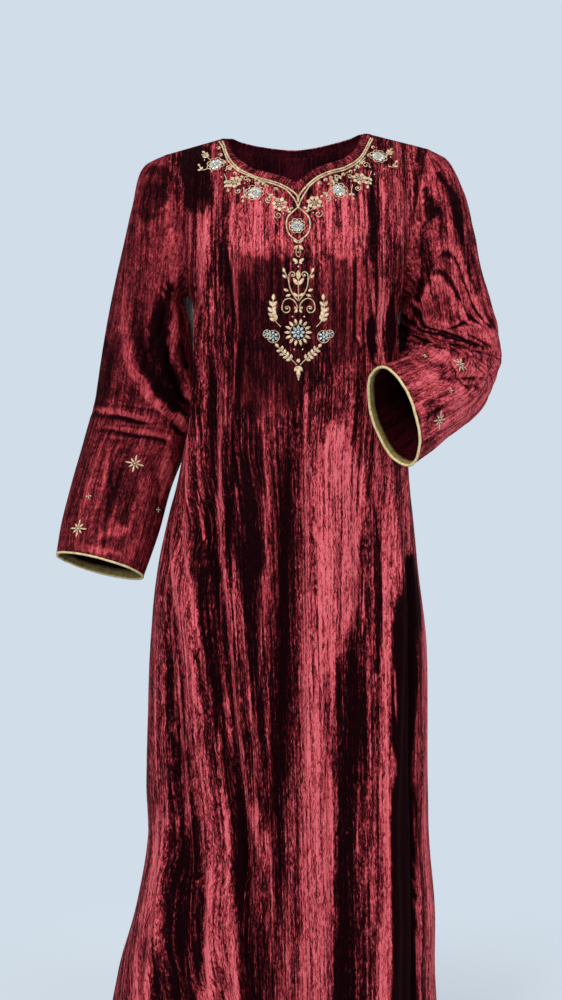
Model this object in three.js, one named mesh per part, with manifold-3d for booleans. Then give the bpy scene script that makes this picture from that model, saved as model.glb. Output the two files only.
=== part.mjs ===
// Velvet jalabiya: a long-sleeved, ankle-length dress of crushed velvet, in its worn shape
// and open inside, with a V neck band, gold cords, raised flower embroidery at the neck and
// on the front, and gold bindings at the cuffs.
//
// Millimetres, +Z up. The wearer faces -Y, so the wearer's right is -X. The origin is the
// middle of the neck opening, level with the tops of the shoulders where the dress is held.

import * as THREE from 'three';
import { mergeVertices } from 'three/addons/utils/BufferGeometryUtils.js';
import Module from 'manifold-3d';

const wasm = await Module();
wasm.setup();

// ---------------------------------------------------------------- driving dimensions

const VELVET = 1.6;            // thickness of the velvet with its pile
const SEAM_GAP = 0.3;          // parting between neighbouring pieces
const CREASE_EASE = { sleeve: 0.12, band: 0.4 };  // more of it where a seam turns sharply
const BAND_WIDTH = 12;         // neck band, from its seam to the neck opening
const UNDERARM_Z = -252;       // lowest point of both armholes
const ROUNDNESS = 2.3;         // superellipse exponent of the body's cross-sections
const SHOULDER_ANGLE = 40;     // body angle of the column that runs up to the neck corner
const UNDERARM_FLARE = { out: 8, reach: 5 };   // the side curves out to meet the sleeve
// How close to the side seam each of these keeps, as a power of the sine of the body angle.
const SIDE_POWER = { armhole: 8, flare: 30, seam: 40 };
const FOLD_TAPER = 90;         // length over which a fold swells from its start
const FOLD_START = 0.25;       // share of its height that a fold already has at its start
const CORD_RADIUS = 1.2;
const CORD_PLACES = [3.2, 7.0];                 // distance of each cord from the neck seam
const RESTING_GAP = 0.55;      // between the cloth and the embroidery that lies on it

const SIDE_COLUMNS = 8;        // from a side seam to the neck corner, on both panels
const FRONT_NECK_COLUMNS = 18; // across the neck opening
const BACK_NECK_COLUMNS = 10;

// Cross-sections of the body below the armholes, as distances from the middle.
const BODY_SECTIONS = [
  { z: -252, right: 160, left: 157, front: 125, back: 92 },
  { z: -330, right: 160, left: 155, front: 128, back: 92 },
  { z: -430, right: 165, left: 163, front: 124, back: 88 },
  { z: -540, right: 184, left: 173, front: 128, back: 98 },
  { z: -660, right: 211, left: 184, front: 135, back: 115 },
  { z: -790, right: 225, left: 198, front: 142, back: 122 },
  { z: -1000, right: 232, left: 199, front: 155, back: 135 },
  { z: -1090, right: 230, left: 201, front: 162, back: 142 },
  { z: -1195, right: 248, left: 211, front: 170, back: 150 },
  { z: -1290, right: 274, left: 212, front: 178, back: 158 },
  { z: -1380, right: 292, left: 218, front: 185, back: 165 },
];
const BODY_ROWS = [-258, -270, -294, -335, -385, -440, -500, -570, -650, -735, -825, -920,
  -1015, -1110, -1205, -1295, -1380];

// Share of the way from the shoulder or neck seam down to the underarm level, row by row.
const YOKE_ROWS = [0, 0.06, 0.15, 0.27, 0.4, 0.53, 0.66, 0.78, 0.88, 0.95, 1];

// Armhole, measured down from the shoulder tip: in is the distance from the middle.
const ARMHOLES = {
  right: [
    { down: 0, z: -33, in: 203, front: 5, back: 5 },
    { down: 0.21, z: -80, in: 192, front: -30, back: 40 },
    { down: 0.44, z: -130, in: 179, front: -50, back: 58 },
    { down: 0.67, z: -180, in: 170, front: -52, back: 60 },
    { down: 0.84, z: -222, in: 166, front: -42, back: 49 },
    { down: 0.93, z: -243, in: 167, front: -25, back: 28 },
    { down: 1, z: UNDERARM_Z, in: 168, front: 0, back: 0 },
  ],
  left: [
    { down: 0, z: -24, in: 203, front: 5, back: 5 },
    { down: 0.22, z: -75, in: 191, front: -30, back: 40 },
    { down: 0.45, z: -128, in: 178, front: -50, back: 58 },
    { down: 0.68, z: -179, in: 168, front: -52, back: 60 },
    { down: 0.85, z: -222, in: 163, front: -42, back: 49 },
    { down: 0.93, z: -243, in: 164, front: -25, back: 28 },
    { down: 1, z: UNDERARM_Z, in: 165, front: 0, back: 0 },
  ],
};

// Seam between the neck band and each panel; share runs from the wearer's right shoulder
// to the left one.
const FRONT_NECK_SEAM = [
  { share: 0, x: -117, y: 3, z: -9 },
  { share: 0.12, x: -104, y: -22, z: -43 },
  { share: 0.23, x: -85, y: -45, z: -66 },
  { share: 0.34, x: -59, y: -63, z: -81 },
  { share: 0.43, x: -29, y: -77, z: -92 },
  { share: 0.5, x: 0, y: -86, z: -104 },
  { share: 0.57, x: 27, y: -77, z: -84 },
  { share: 0.66, x: 46, y: -66, z: -73 },
  { share: 0.77, x: 73, y: -48, z: -61 },
  { share: 0.88, x: 96, y: -26, z: -40 },
  { share: 1, x: 114, y: 3, z: -2 },
];
const BACK_NECK_SEAM = [
  { share: 0, x: -117, y: 3, z: -9 },
  { share: 0.2, x: -88, y: 32, z: -20 },
  { share: 0.5, x: 0, y: 50, z: -28 },
  { share: 0.8, x: 86, y: 32, z: -14 },
  { share: 1, x: 114, y: 3, z: -2 },
];

// How early each panel swells from its top edge towards the chest or the shoulder blades.
const SWELL = {
  front: { middle: 1.5, shoulder: 2.5 },
  back: { middle: 1.9, shoulder: 2.6 },
};

// Folds of the body. across is the share of the half width as seen from the front,
// positive to the wearer's left; a ridge stands out by its height, a trough is negative.
const FRONT_FOLDS = [
  { name: 'right_bust', height: 7, halfWidth: 62, path: [[-0.52, -232]] },
  { name: 'left_bust', height: 7, halfWidth: 62, path: [[0.52, -232]] },
  { name: 'right_side_ridge', height: 13, halfWidth: 24,
    path: [[-0.78, -135], [-0.9, -300], [-0.9, -480], [-0.71, -680], [-0.6, -830],
      [-0.4, -1150], [-0.26, -1380]] },
  { name: 'right_side_trough', height: -9, halfWidth: 22,
    path: [[-0.78, -330], [-0.74, -480], [-0.58, -640], [-0.48, -830], [-0.32, -1100],
      [-0.18, -1380]] },
  { name: 'right_outer_ridge', height: 12, halfWidth: 26,
    path: [[-0.92, -600], [-0.76, -716], [-0.69, -800], [-0.6, -960], [-0.52, -1150],
      [-0.42, -1380]] },
  { name: 'right_outer_trough', height: -10, halfWidth: 22,
    path: [[-0.86, -760], [-0.79, -900], [-0.72, -1100], [-0.62, -1380]] },
  { name: 'right_hem_ridge', height: 12, halfWidth: 30,
    path: [[-0.86, -1040], [-0.8, -1200], [-0.76, -1380]] },
  { name: 'right_inner_ridge', height: 8, halfWidth: 20,
    path: [[-0.61, -569], [-0.47, -649], [-0.36, -752], [-0.3, -900]] },
  { name: 'middle_ridge', height: 9, halfWidth: 20,
    path: [[-0.2, -520], [-0.18, -790], [-0.235, -1034], [-0.28, -1380]] },
  { name: 'middle_trough', height: -10, halfWidth: 20,
    path: [[-0.05, -470], [-0.06, -800], [-0.1, -1030], [-0.12, -1380]] },
  { name: 'bright_ridge', height: 9, halfWidth: 30,
    path: [[0.2, -420], [0.2, -700], [0.12, -1000], [0.08, -1380]] },
  { name: 'left_inner_trough', height: -9, halfWidth: 24,
    path: [[0.5, -520], [0.5, -760], [0.4, -1034], [0.34, -1380]] },
  { name: 'left_ridge', height: 12, halfWidth: 22,
    path: [[0.8, -440], [0.79, -676], [0.72, -880], [0.68, -1111], [0.62, -1380]] },
  { name: 'left_side_trough', height: -15, halfWidth: 17,
    path: [[0.95, -500], [0.93, -640], [0.87, -798], [0.86, -1111], [0.8, -1380]] },
  { name: 'left_bust_fold', height: -9, halfWidth: 15, path: [[0.82, -236], [0.8, -300], [0.74, -360]] },
];
const BACK_FOLDS = [
  { name: 'back_right_ridge', height: 12, halfWidth: 26,
    path: [[-0.62, -300], [-0.58, -700], [-0.6, -1380]] },
  { name: 'back_right_trough', height: -11, halfWidth: 24,
    path: [[-0.36, -340], [-0.33, -800], [-0.38, -1380]] },
  { name: 'back_middle_ridge', height: 11, halfWidth: 28,
    path: [[-0.08, -380], [-0.04, -800], [-0.1, -1380]] },
  { name: 'back_middle_trough', height: -10, halfWidth: 22,
    path: [[0.2, -430], [0.22, -900], [0.2, -1380]] },
  { name: 'back_left_ridge', height: 12, halfWidth: 26,
    path: [[0.46, -330], [0.48, -800], [0.5, -1380]] },
  { name: 'back_left_trough', height: -11, halfWidth: 22,
    path: [[0.74, -470], [0.74, -900], [0.76, -1380]] },
  { name: 'back_edge_trough', height: -9, halfWidth: 22,
    path: [[-0.85, -640], [-0.83, -1000], [-0.83, -1380]] },
];

// Rings of the sleeves after the armhole: the middle, the way from it to the outer (elbow)
// side, and the half depth square to that. steps is the rows of wall up to that ring.
const SLEEVE_RINGS = {
  right: [
    { steps: 1, middle: [-202.5, 6, -152], outer: [-29.5, 0, 103], depth: 57 },
    { steps: 1, middle: [-210, 16, -185], outer: [-40, 0, 80], depth: 58 },
    { steps: 1, middle: [-218, 28, -233], outer: [-54, 0, 53], depth: 58 },
    { steps: 1, middle: [-227, 40, -297], outer: [-66, 0, 32], depth: 58 },
    { steps: 2, middle: [-235, 47, -371], outer: [-75, 0, 15], depth: 56 },
    { steps: 2, middle: [-241, 47, -428], outer: [-78, 0, 12], depth: 54 },
    { steps: 2, middle: [-255, 38, -483], outer: [-79, 0, 8], depth: 52 },
    { steps: 2, middle: [-274, 10, -548], outer: [-77, 0, 3], depth: 49 },
    { steps: 2, middle: [-288, -16, -612], outer: [-75, 0, 5], depth: 45 },
    { steps: 1, middle: [-301, -36, -668], outer: [-66, 0, 17], depth: 42 },
  ],
  left: [
    { steps: 1, middle: [200.5, 4, -145], outer: [27.5, 1, 107], depth: 57 },
    { steps: 1, middle: [211, 10, -168], outer: [41, 1, 89], depth: 58 },
    { steps: 1, middle: [217, 18, -200], outer: [53, 0, 69], depth: 58 },
    { steps: 1, middle: [224, 28, -245], outer: [64, -4, 40], depth: 58 },
    { steps: 1, middle: [233, 37, -290], outer: [75, -8, 14], depth: 58 },
    { steps: 2, middle: [239, 38, -337], outer: [80, 6, -7], depth: 60 },
    { steps: 2, middle: [234, 26, -374], outer: [71, 12, -14], depth: 58 },
    { steps: 2, middle: [230, -27, -388], outer: [45, 18, -45], depth: 52 },
    { steps: 2, middle: [206, -72, -408], outer: [21, 9, -62], depth: 45 },
    { steps: 1, middle: [172, -112, -429], outer: [22, 9, -67], depth: 42 },
    { steps: 2, middle: [140, -150, -447], outer: [23, 9, -71], depth: 40 },
  ],
};

// Folds of the sleeves: path of [share of the length, degrees round from the outer side
// by way of the front].
const SLEEVE_FOLDS = {
  right: [
    { name: 'armhole_ridge', height: 9, halfWidth: 20,
      path: [[0.22, 62], [0.36, 78], [0.48, 104], [0.58, 150]] },
    { name: 'armhole_trough', height: -11, halfWidth: 22,
      path: [[0.2, 112], [0.34, 124], [0.46, 146]] },
    { name: 'elbow_crease', height: -6, halfWidth: 14,
      path: [[0.57, 10], [0.58, 60], [0.6, 96]] },
    { name: 'forearm_crease', height: -5, halfWidth: 13,
      path: [[0.64, 40], [0.66, 90], [0.66, 128]] },
    { name: 'back_trough', height: -7, halfWidth: 22,
      path: [[0.3, 250], [0.5, 262], [0.74, 268]] },
  ],
  left: [
    { name: 'elbow_crease', height: -8, halfWidth: 14,
      path: [[0.53, 30], [0.53, 80], [0.55, 120]] },
    { name: 'inner_elbow_trough', height: -12, halfWidth: 20,
      path: [[0.5, 150], [0.56, 172], [0.6, 196]] },
    { name: 'upper_trough', height: -9, halfWidth: 18,
      path: [[0.2, 128], [0.36, 132], [0.48, 140]] },
    { name: 'forearm_ridge', height: 5, halfWidth: 18,
      path: [[0.6, 60], [0.76, 76], [0.96, 84]] },
    { name: 'back_trough', height: -7, halfWidth: 22,
      path: [[0.24, 262], [0.4, 258], [0.52, 250]] },
  ],
};
const SLEEVE_GIRTH = 400;      // typical, to measure distances round a sleeve
const SLEEVE_LENGTH = 620;

// Section of a cuff binding as [out, along] from the middle of the velvet's cut edge: a
// rolled edge past the velvet, and a flat facing inside it.
const CUFF_PROFILE = [
  [1.3, 0.3], [1.5, 1.8], [0.5, 3.2], [-1.6, 3.2], [-2.6, 1.8], [-2.6, -9], [-1.6, -9], [-1.6, 0.3],
];

// ---------------------------------------------------------------- small helpers

const radians = THREE.MathUtils.degToRad;
const vector = (x, y, z) => new THREE.Vector3(x, y, z);
const between = (a, b, share) => a.clone().lerp(b, share);

// Reads a table's column smoothly at a place between its rows.
function readTable(table, key, column, place) {
  const falling = table[0][key] > table[table.length - 1][key];
  const rows = falling ? [...table].reverse() : table;
  const at = THREE.MathUtils.clamp(place, rows[0][key], rows[rows.length - 1][key]);
  let i = 0;
  while (i < rows.length - 2 && at > rows[i + 1][key]) i += 1;
  const slope = (k) => {
    const a = rows[Math.max(k - 1, 0)];
    const b = rows[Math.min(k + 1, rows.length - 1)];
    return (b[column] - a[column]) / (b[key] - a[key]);
  };
  const width = rows[i + 1][key] - rows[i][key];
  const t = (at - rows[i][key]) / width;
  return (2 * t ** 3 - 3 * t ** 2 + 1) * rows[i][column] + (t ** 3 - 2 * t ** 2 + t) * width * slope(i)
    + (3 * t ** 2 - 2 * t ** 3) * rows[i + 1][column] + (t ** 3 - t ** 2) * width * slope(i + 1);
}

// Signed power, for superellipse sections.
const softPower = (value, power) => Math.sign(value) * Math.abs(value) ** power;

// Height that a list of folds gives a place on the unrolled cloth.
function foldRelief(folds, place) {
  let height = 0;
  for (const fold of folds) {
    let nearest = Infinity;
    let run = 0;
    let walked = 0;
    const points = fold.unrolled;
    for (let i = 0; i + 1 < points.length; i += 1) {
      const segment = points[i + 1].clone().sub(points[i]);
      const t = THREE.MathUtils.clamp(place.clone().sub(points[i]).dot(segment) / segment.lengthSq(), 0, 1);
      const distance = place.distanceTo(points[i].clone().addScaledVector(segment, t));
      if (distance < nearest) {
        nearest = distance;
        run = walked + t * segment.length();
      }
      walked += segment.length();
    }
    if (points.length === 1) nearest = place.distanceTo(points[0]);
    if (nearest >= fold.halfWidth) continue;
    const ends = points.length === 1 ? 1 : Math.min(1, FOLD_START + run / FOLD_TAPER);
    height += fold.height * ends * (0.5 + 0.5 * Math.cos(Math.PI * nearest / fold.halfWidth));
  }
  return height;
}

// ---------------------------------------------------------------- body surfaces

const acrossToAngle = (across) => Math.asin(softPower(across, ROUNDNESS / 2));

// Length of cloth from the middle to the side seam at a height.
function quarterGirth(angle, z, side) {
  const half = readTable(BODY_SECTIONS, 'z', angle < 0 ? 'right' : 'left', z);
  const depth = readTable(BODY_SECTIONS, 'z', side, z);
  return (Math.PI / 2) * Math.hypot(half, depth) / Math.SQRT2;
}

function unrollBody(angle, z, side) {
  return new THREE.Vector2((angle / (Math.PI / 2)) * quarterGirth(angle, z, side), z);
}

function unrollFolds(folds, side) {
  return folds.map((fold) => ({
    ...fold,
    unrolled: fold.path.map(([across, z]) => unrollBody(acrossToAngle(across), z, side)),
  }));
}

// A point of the body's section at an angle from the middle, and the way out of it.
function sectionPoint(angle, z, side) {
  const half = readTable(BODY_SECTIONS, 'z', angle < 0 ? 'right' : 'left', z);
  const depth = readTable(BODY_SECTIONS, 'z', side, z);
  const facing = side === 'front' ? -1 : 1;
  const x = half * softPower(Math.sin(angle), 2 / ROUNDNESS);
  const y = facing * depth * Math.abs(Math.cos(angle)) ** (2 / ROUNDNESS);
  const slope = (offset, size) => softPower(offset / size, ROUNDNESS - 1) / size;
  const out = vector(slope(x, half), slope(y, depth), 0);
  const sideWeight = Math.abs(Math.sin(angle)) ** SIDE_POWER.flare;
  const flare = UNDERARM_FLARE.out * sideWeight * Math.exp(-(UNDERARM_Z - z) / UNDERARM_FLARE.reach);
  return { point: vector(x + Math.sign(angle) * flare, y, z), out: out.normalize() };
}

// Top edge of a panel: the neck seam in the middle and a straight shoulder seam each side.
function topEdge(angle, side) {
  const corner = radians(SHOULDER_ANGLE);
  const seam = side === 'front' ? FRONT_NECK_SEAM : BACK_NECK_SEAM;
  const share = THREE.MathUtils.clamp((angle + corner) / (2 * corner), 0, 1);
  const neck = vector(...['x', 'y', 'z'].map((column) => readTable(seam, 'share', column, share)));
  if (Math.abs(angle) <= corner) return neck;
  const tipRow = ARMHOLES[angle < 0 ? 'right' : 'left'][0];
  const tip = vector(Math.sign(angle) * tipRow.in, tipRow.front, tipRow.z);
  return between(neck, tip, (Math.abs(angle) - corner) / (Math.PI / 2 - corner));
}

function armholePoint(sign, side, down) {
  const table = ARMHOLES[sign < 0 ? 'right' : 'left'];
  const read = (column) => readTable(table, 'down', column, down);
  return vector(sign * read('in'), read(side), read('z'));
}

// Between the top edge and the underarm level, at a share of the way down.
function yokePoint(angle, down, side, folds) {
  const sign = Math.sign(angle) || 1;
  const weight = Math.abs(Math.sin(angle)) ** SIDE_POWER.armhole;
  const top = topEdge(angle, side);
  const foot = sectionPoint(angle, UNDERARM_Z, side).point;
  const footEdge = sectionPoint(sign * Math.PI / 2, UNDERARM_Z, side).point;
  const tip = armholePoint(sign, side, 0);
  const point = between(top, foot, down);
  const swell = THREE.MathUtils.lerp(SWELL[side].middle, SWELL[side].shoulder, Math.abs(Math.sin(angle)));
  point.y = top.y + (foot.y - top.y) * (1 - (1 - down) ** swell);
  const straight = between(tip, footEdge, down);
  straight.y = tip.y + (footEdge.y - tip.y) * (1 - (1 - down) ** SWELL[side].shoulder);
  point.add(armholePoint(sign, side, down).sub(straight).multiplyScalar(weight));
  const inside = down * (1 - weight);
  point.y += (side === 'front' ? -1 : 1) * inside * foldRelief(folds, unrollBody(angle, point.z, side));
  return point;
}

function bodyPoint(angle, z, side, folds) {
  const { point, out } = sectionPoint(angle, z, side);
  const inside = 1 - Math.abs(Math.sin(angle)) ** SIDE_POWER.seam;
  return point.addScaledVector(out, inside * foldRelief(folds, unrollBody(angle, z, side)));
}

function panelAngles(neckColumns) {
  const corner = SHOULDER_ANGLE;
  const angles = [];
  for (let i = 0; i < SIDE_COLUMNS; i += 1) angles.push(-90 + ((90 - corner) * i) / SIDE_COLUMNS);
  for (let i = 0; i <= neckColumns; i += 1) angles.push(-corner + (2 * corner * i) / neckColumns);
  for (let i = 1; i <= SIDE_COLUMNS; i += 1) angles.push(corner + ((90 - corner) * i) / SIDE_COLUMNS);
  return angles.map(radians);
}

// Middle surface of a panel as rows of points from the top edge down to the hem.
function panelGrid(side, angles, folds) {
  const unrolled = unrollFolds(folds, side);
  const rows = YOKE_ROWS.map((down) => angles.map((angle) => {
    const atSide = Math.abs(angle) > Math.PI / 2 - 1e-6;
    return atSide ? armholePoint(Math.sign(angle), side, down) : yokePoint(angle, down, side, unrolled);
  }));
  for (const z of BODY_ROWS) rows.push(angles.map((angle) => bodyPoint(angle, z, side, unrolled)));
  return rows;
}

// ---------------------------------------------------------------- sleeve surfaces

// Shares of the way round a sleeve, from the outer side by the front, for each point of
// the armhole loop.
function loopShares(loop) {
  const runs = [0];
  for (let i = 1; i <= loop.length; i += 1) {
    runs.push(runs[i - 1] + loop[i % loop.length].distanceTo(loop[i - 1]));
  }
  return runs.slice(0, -1).map((run) => run / runs[loop.length]);
}

const middleOf = (loop) => loop.reduce((sum, p) => sum.add(p), vector(0, 0, 0)).divideScalar(loop.length);

// Middle surface of a sleeve: closed rows of points from the armhole to the cuff.
function sleeveGrid(sideName, armholeLoop) {
  const rings = SLEEVE_RINGS[sideName];
  const turn = sideName === 'right' ? 1 : -1;
  const shares = loopShares(armholeLoop);
  const middles = [middleOf(armholeLoop), ...rings.map((ring) => vector(...ring.middle))];
  const knots = [armholeLoop];
  rings.forEach((ring, i) => {
    const outer = vector(...ring.outer);
    const ahead = middles[Math.min(i + 2, rings.length)].clone().sub(middles[i]);
    const front = outer.clone().cross(ahead).normalize().multiplyScalar(turn * ring.depth);
    knots.push(shares.map((share) => vector(...ring.middle)
      .addScaledVector(outer, Math.cos(2 * Math.PI * share))
      .addScaledVector(front, Math.sin(2 * Math.PI * share))));
  });
  const lines = shares.map((share, j) => new THREE.CatmullRomCurve3(knots.map((ring) => ring[j])));
  const rows = [armholeLoop];
  const totalSteps = rings.reduce((sum, ring) => sum + ring.steps, 0);
  const unroll = (share, along) => new THREE.Vector2(SLEEVE_GIRTH * share, SLEEVE_LENGTH * along);
  const folds = SLEEVE_FOLDS[sideName].map((fold) => ({
    ...fold,
    unrolled: fold.path.map(([along, around]) => unroll(around / 360, along)),
  }));
  let done = 0;
  rings.forEach((ring, i) => {
    for (let step = 1; step <= ring.steps; step += 1) {
      const t = (i + step / ring.steps) / rings.length;
      done += 1;
      const row = lines.map((line) => line.getPoint(t));
      const centre = middleOf(row);
      rows.push(row.map((p, j) => p.addScaledVector(p.clone().sub(centre).normalize(),
        foldRelief(folds, unroll(shares[j], done / totalSteps)))));
    }
  });
  return rows;
}

// ---------------------------------------------------------------- cloth walls

// A cloth is a grid of points; closed says that its rows run round into loops, and
// turned says that its rows by columns face the inside.
const pointKey = (p) => `${p.x.toFixed(3)},${p.y.toFixed(3)},${p.z.toFixed(3)}`;

function faceCorners(cloth) {
  const { rows, closed } = cloth;
  const columns = rows[0].length;
  const faces = [];
  for (let i = 0; i + 1 < rows.length; i += 1) {
    for (let j = 0; j < (closed ? columns : columns - 1); j += 1) {
      const k = (j + 1) % columns;
      const quad = [[i, j], [i + 1, j], [i + 1, k], [i, k]];
      if (cloth.turned) quad.reverse();
      faces.push([quad[0], quad[1], quad[2]], [quad[0], quad[2], quad[3]]);
    }
  }
  return faces;
}

// Adds up the directions of cloths' faces at each point.
function faceSums(cloths) {
  const sums = new Map();
  for (const cloth of cloths) {
    for (const face of faceCorners(cloth)) {
      const [a, b, c] = face.map(([i, j]) => cloth.rows[i][j]);
      const normal = b.clone().sub(a).cross(c.clone().sub(a));
      for (const p of [a, b, c]) {
        const key = pointKey(p);
        sums.set(key, (sums.get(key) ?? vector(0, 0, 0)).add(normal));
      }
    }
  }
  return sums;
}

const MITRE_FLOOR = 0.8;

// Pieces that meet at a seam get the same direction there, and a mitre that keeps each
// wall's thickness where the seam is a crease.
function sharedNormals(cloths) {
  const all = faceSums(cloths);
  for (const cloth of cloths) {
    const own = faceSums([cloth]);
    cloth.normals = cloth.rows.map((row) => row.map((p) => all.get(pointKey(p)).clone().normalize()));
    cloth.mitres = cloth.rows.map((row, i) => row.map((p, j) => {
      const square = own.get(pointKey(p)).clone().normalize().dot(cloth.normals[i][j]);
      return 1 / Math.max(MITRE_FLOOR, square);
    }));
  }
}

// Draws a cloth's edges back from their seams by half the seam gap, along the cloth. Each
// seam names its places on the edge and the places next to them inside.
function drawBack(cloth, seams) {
  const moves = [];
  for (const { edge, inner, loop = false } of seams) {
    const last = edge.length - 1;
    const points = edge.map(([i, j]) => cloth.rows[i][j]);
    edge.forEach(([i, j], k) => {
      const before = points[k > 0 ? k - 1 : (loop ? last : 0)];
      const after = points[k < last ? k + 1 : (loop ? 0 : last)];
      const way = cloth.normals[i][j].clone().cross(after.clone().sub(before)).normalize();
      const [m, n] = inner[k];
      if (way.dot(cloth.rows[m][n].clone().sub(points[k])) < 0) way.negate();
      moves.push({ i, j, way });
    });
  }
  for (const { i, j, way } of moves) {
    cloth.rows[i][j] = cloth.rows[i][j].clone().addScaledVector(way, SEAM_GAP / 2 + (cloth.ease ?? 0));
  }
}

// Places [row, column] of a cloth along one of its rows, or along one of its columns.
const upTo = (from, to) => Array.from({ length: to - from + 1 }, (unused, k) => from + k);
const rowEdge = (cloth, i, from = 0, to = cloth.rows[0].length - 1) => upTo(from, to).map((j) => [i, j]);
const columnEdge = (j, from, to) => upTo(from, to).map((i) => [i, j]);

function geometryFrom(points, triangles) {
  const geometry = new THREE.BufferGeometry();
  const coordinates = points.flatMap((p) => [p.x, p.y, p.z]);
  geometry.setAttribute('position', new THREE.Float32BufferAttribute(coordinates, 3));
  geometry.setIndex(triangles.flat());
  geometry.computeVertexNormals();
  return geometry;
}

// A closed wall round a cloth's middle surface, with velvet on both sides of it.
function clothWall(cloth) {
  const { rows, normals, mitres, closed, thickness } = cloth;
  const columns = rows[0].length;
  const count = rows.length * columns;
  const layer = (way) => rows.flatMap((row, i) => row.map((p, j) => p.clone()
    .addScaledVector(normals[i][j], (way * mitres[i][j] * thickness) / 2)));
  const points = [...layer(1), ...layer(-1)];
  const outer = ([i, j]) => i * columns + j;
  const triangles = [];
  for (const face of faceCorners(cloth)) {
    const [a, b, c] = face.map(outer);
    triangles.push([a, b, c], [count + a, count + c, count + b]);
  }
  const rim = (edge, loop) => {
    for (let k = 0; k < (loop ? edge.length : edge.length - 1); k += 1) {
      const [a, b] = [outer(edge[k]), outer(edge[(k + 1) % edge.length])];
      const pair = cloth.turned ? [b, a] : [a, b];
      triangles.push([pair[0], pair[1], count + pair[1]], [pair[0], count + pair[1], count + pair[0]]);
    }
  };
  const lastRow = rows.length - 1;
  rim(rowEdge(cloth, 0), closed);
  rim(rowEdge(cloth, lastRow).reverse(), closed);
  if (!closed) {
    rim(columnEdge(columns - 1, 0, lastRow), false);
    rim(columnEdge(0, 0, lastRow).reverse(), false);
  }
  return geometryFrom(points, triangles);
}

// A closed loop of one section along a sleeve's cut edge, given as [out, along] distances:
// past the edge it goes straight on, and inside it follows the sleeve.
function cuffBinding({ rows, normals }, profile) {
  const all = [];
  const triangles = [];
  const corners = profile.length;
  const last = rows.length - 1;
  rows[last].forEach((p, j) => {
    const inside = rows[last - 1][j];
    const run = p.distanceTo(inside);
    const ahead = p.clone().sub(inside).normalize();
    for (const [out, along] of profile) {
      const share = Math.max(0, -along / run);
      const normal = between(normals[last][j], normals[last - 1][j], share).normalize();
      const edge = between(p, inside, share).addScaledVector(ahead, Math.max(0, along));
      all.push(edge.addScaledVector(normal, out));
    }
    const next = (j + 1) % rows[last].length;
    for (let k = 0; k < corners; k += 1) {
      const m = (k + 1) % corners;
      triangles.push([j * corners + k, next * corners + k, next * corners + m],
        [j * corners + k, next * corners + m, j * corners + m]);
    }
  });
  return geometryFrom(all, triangles);
}

function signedVolume(geometry) {
  const position = geometry.attributes.position;
  const index = geometry.index.array;
  const [a, b, c] = [vector(0, 0, 0), vector(0, 0, 0), vector(0, 0, 0)];
  let volume = 0;
  for (let i = 0; i < index.length; i += 3) {
    a.fromBufferAttribute(position, index[i]);
    b.fromBufferAttribute(position, index[i + 1]);
    c.fromBufferAttribute(position, index[i + 2]);
    volume += a.dot(b.clone().cross(c)) / 6;
  }
  return volume;
}

// Turns a closed body whose faces point in, as one of a mirrored pair does.
function facingOut(geometry) {
  if (signedVolume(geometry) < 0) {
    const index = geometry.index.array;
    for (let i = 0; i < index.length; i += 3) [index[i], index[i + 1]] = [index[i + 1], index[i]];
    geometry.computeVertexNormals();
  }
  return geometry;
}

// ---------------------------------------------------------------- the cloths

const underarmRow = YOKE_ROWS.length - 1;
const frontAngles = panelAngles(FRONT_NECK_COLUMNS);
const backAngles = panelAngles(BACK_NECK_COLUMNS);
const front = {
  rows: panelGrid('front', frontAngles, FRONT_FOLDS),
  thickness: VELVET,
  closed: false,
  turned: false,
};
const back = {
  rows: panelGrid('back', backAngles, BACK_FOLDS),
  thickness: VELVET,
  closed: false,
  turned: true,
};

// The armhole as a loop from the shoulder tip down the front and up the back.
function armholeLoop(sideName) {
  const at = (cloth, i) => cloth.rows[i][sideName === 'right' ? 0 : cloth.rows[0].length - 1];
  const loop = [];
  for (let i = 0; i <= underarmRow; i += 1) loop.push(at(front, i));
  for (let i = underarmRow - 1; i > 0; i -= 1) loop.push(at(back, i));
  return loop;
}

const sleeves = {};
for (const sideName of ['right', 'left']) {
  sleeves[sideName] = {
    rows: sleeveGrid(sideName, armholeLoop(sideName)),
    thickness: VELVET,
    closed: true,
    turned: sideName === 'left',
    ease: CREASE_EASE.sleeve,
  };
}

// The neck seam as a loop, along the front from the wearer's right to the left and home
// along the back.
const neckPlaces = (neckColumns) => upTo(SIDE_COLUMNS, SIDE_COLUMNS + neckColumns);
const frontNeck = neckPlaces(FRONT_NECK_COLUMNS);
const backNeck = neckPlaces(BACK_NECK_COLUMNS).reverse().slice(1, -1);
const neckSeam = [...frontNeck.map((j) => front.rows[0][j]), ...backNeck.map((j) => back.rows[0][j])];

const panelsAndSleeves = [front, back, sleeves.right, sleeves.left];
sharedNormals(panelsAndSleeves);
const neckNormals = [
  ...frontNeck.map((j) => front.normals[0][j]),
  ...backNeck.map((j) => back.normals[0][j]),
];

const CORNER_FLOOR = 0.6;      // keeps a sharp corner from being drawn out too far

// At each point of a loop, the way across it in the cloth, lengthened at its corners.
function waysAcross(loop, normals) {
  return loop.map((p, k) => {
    const before = loop[(k + loop.length - 1) % loop.length];
    const after = loop[(k + 1) % loop.length];
    const first = normals[k].clone().cross(p.clone().sub(before)).normalize();
    const second = normals[k].clone().cross(after.clone().sub(p)).normalize();
    const middle = first.clone().add(second).normalize();
    return middle.divideScalar(Math.max(CORNER_FLOOR, middle.dot(first)));
  });
}
const awayFromNeck = waysAcross(neckSeam, neckNormals).map((way) => way.negate());

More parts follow.
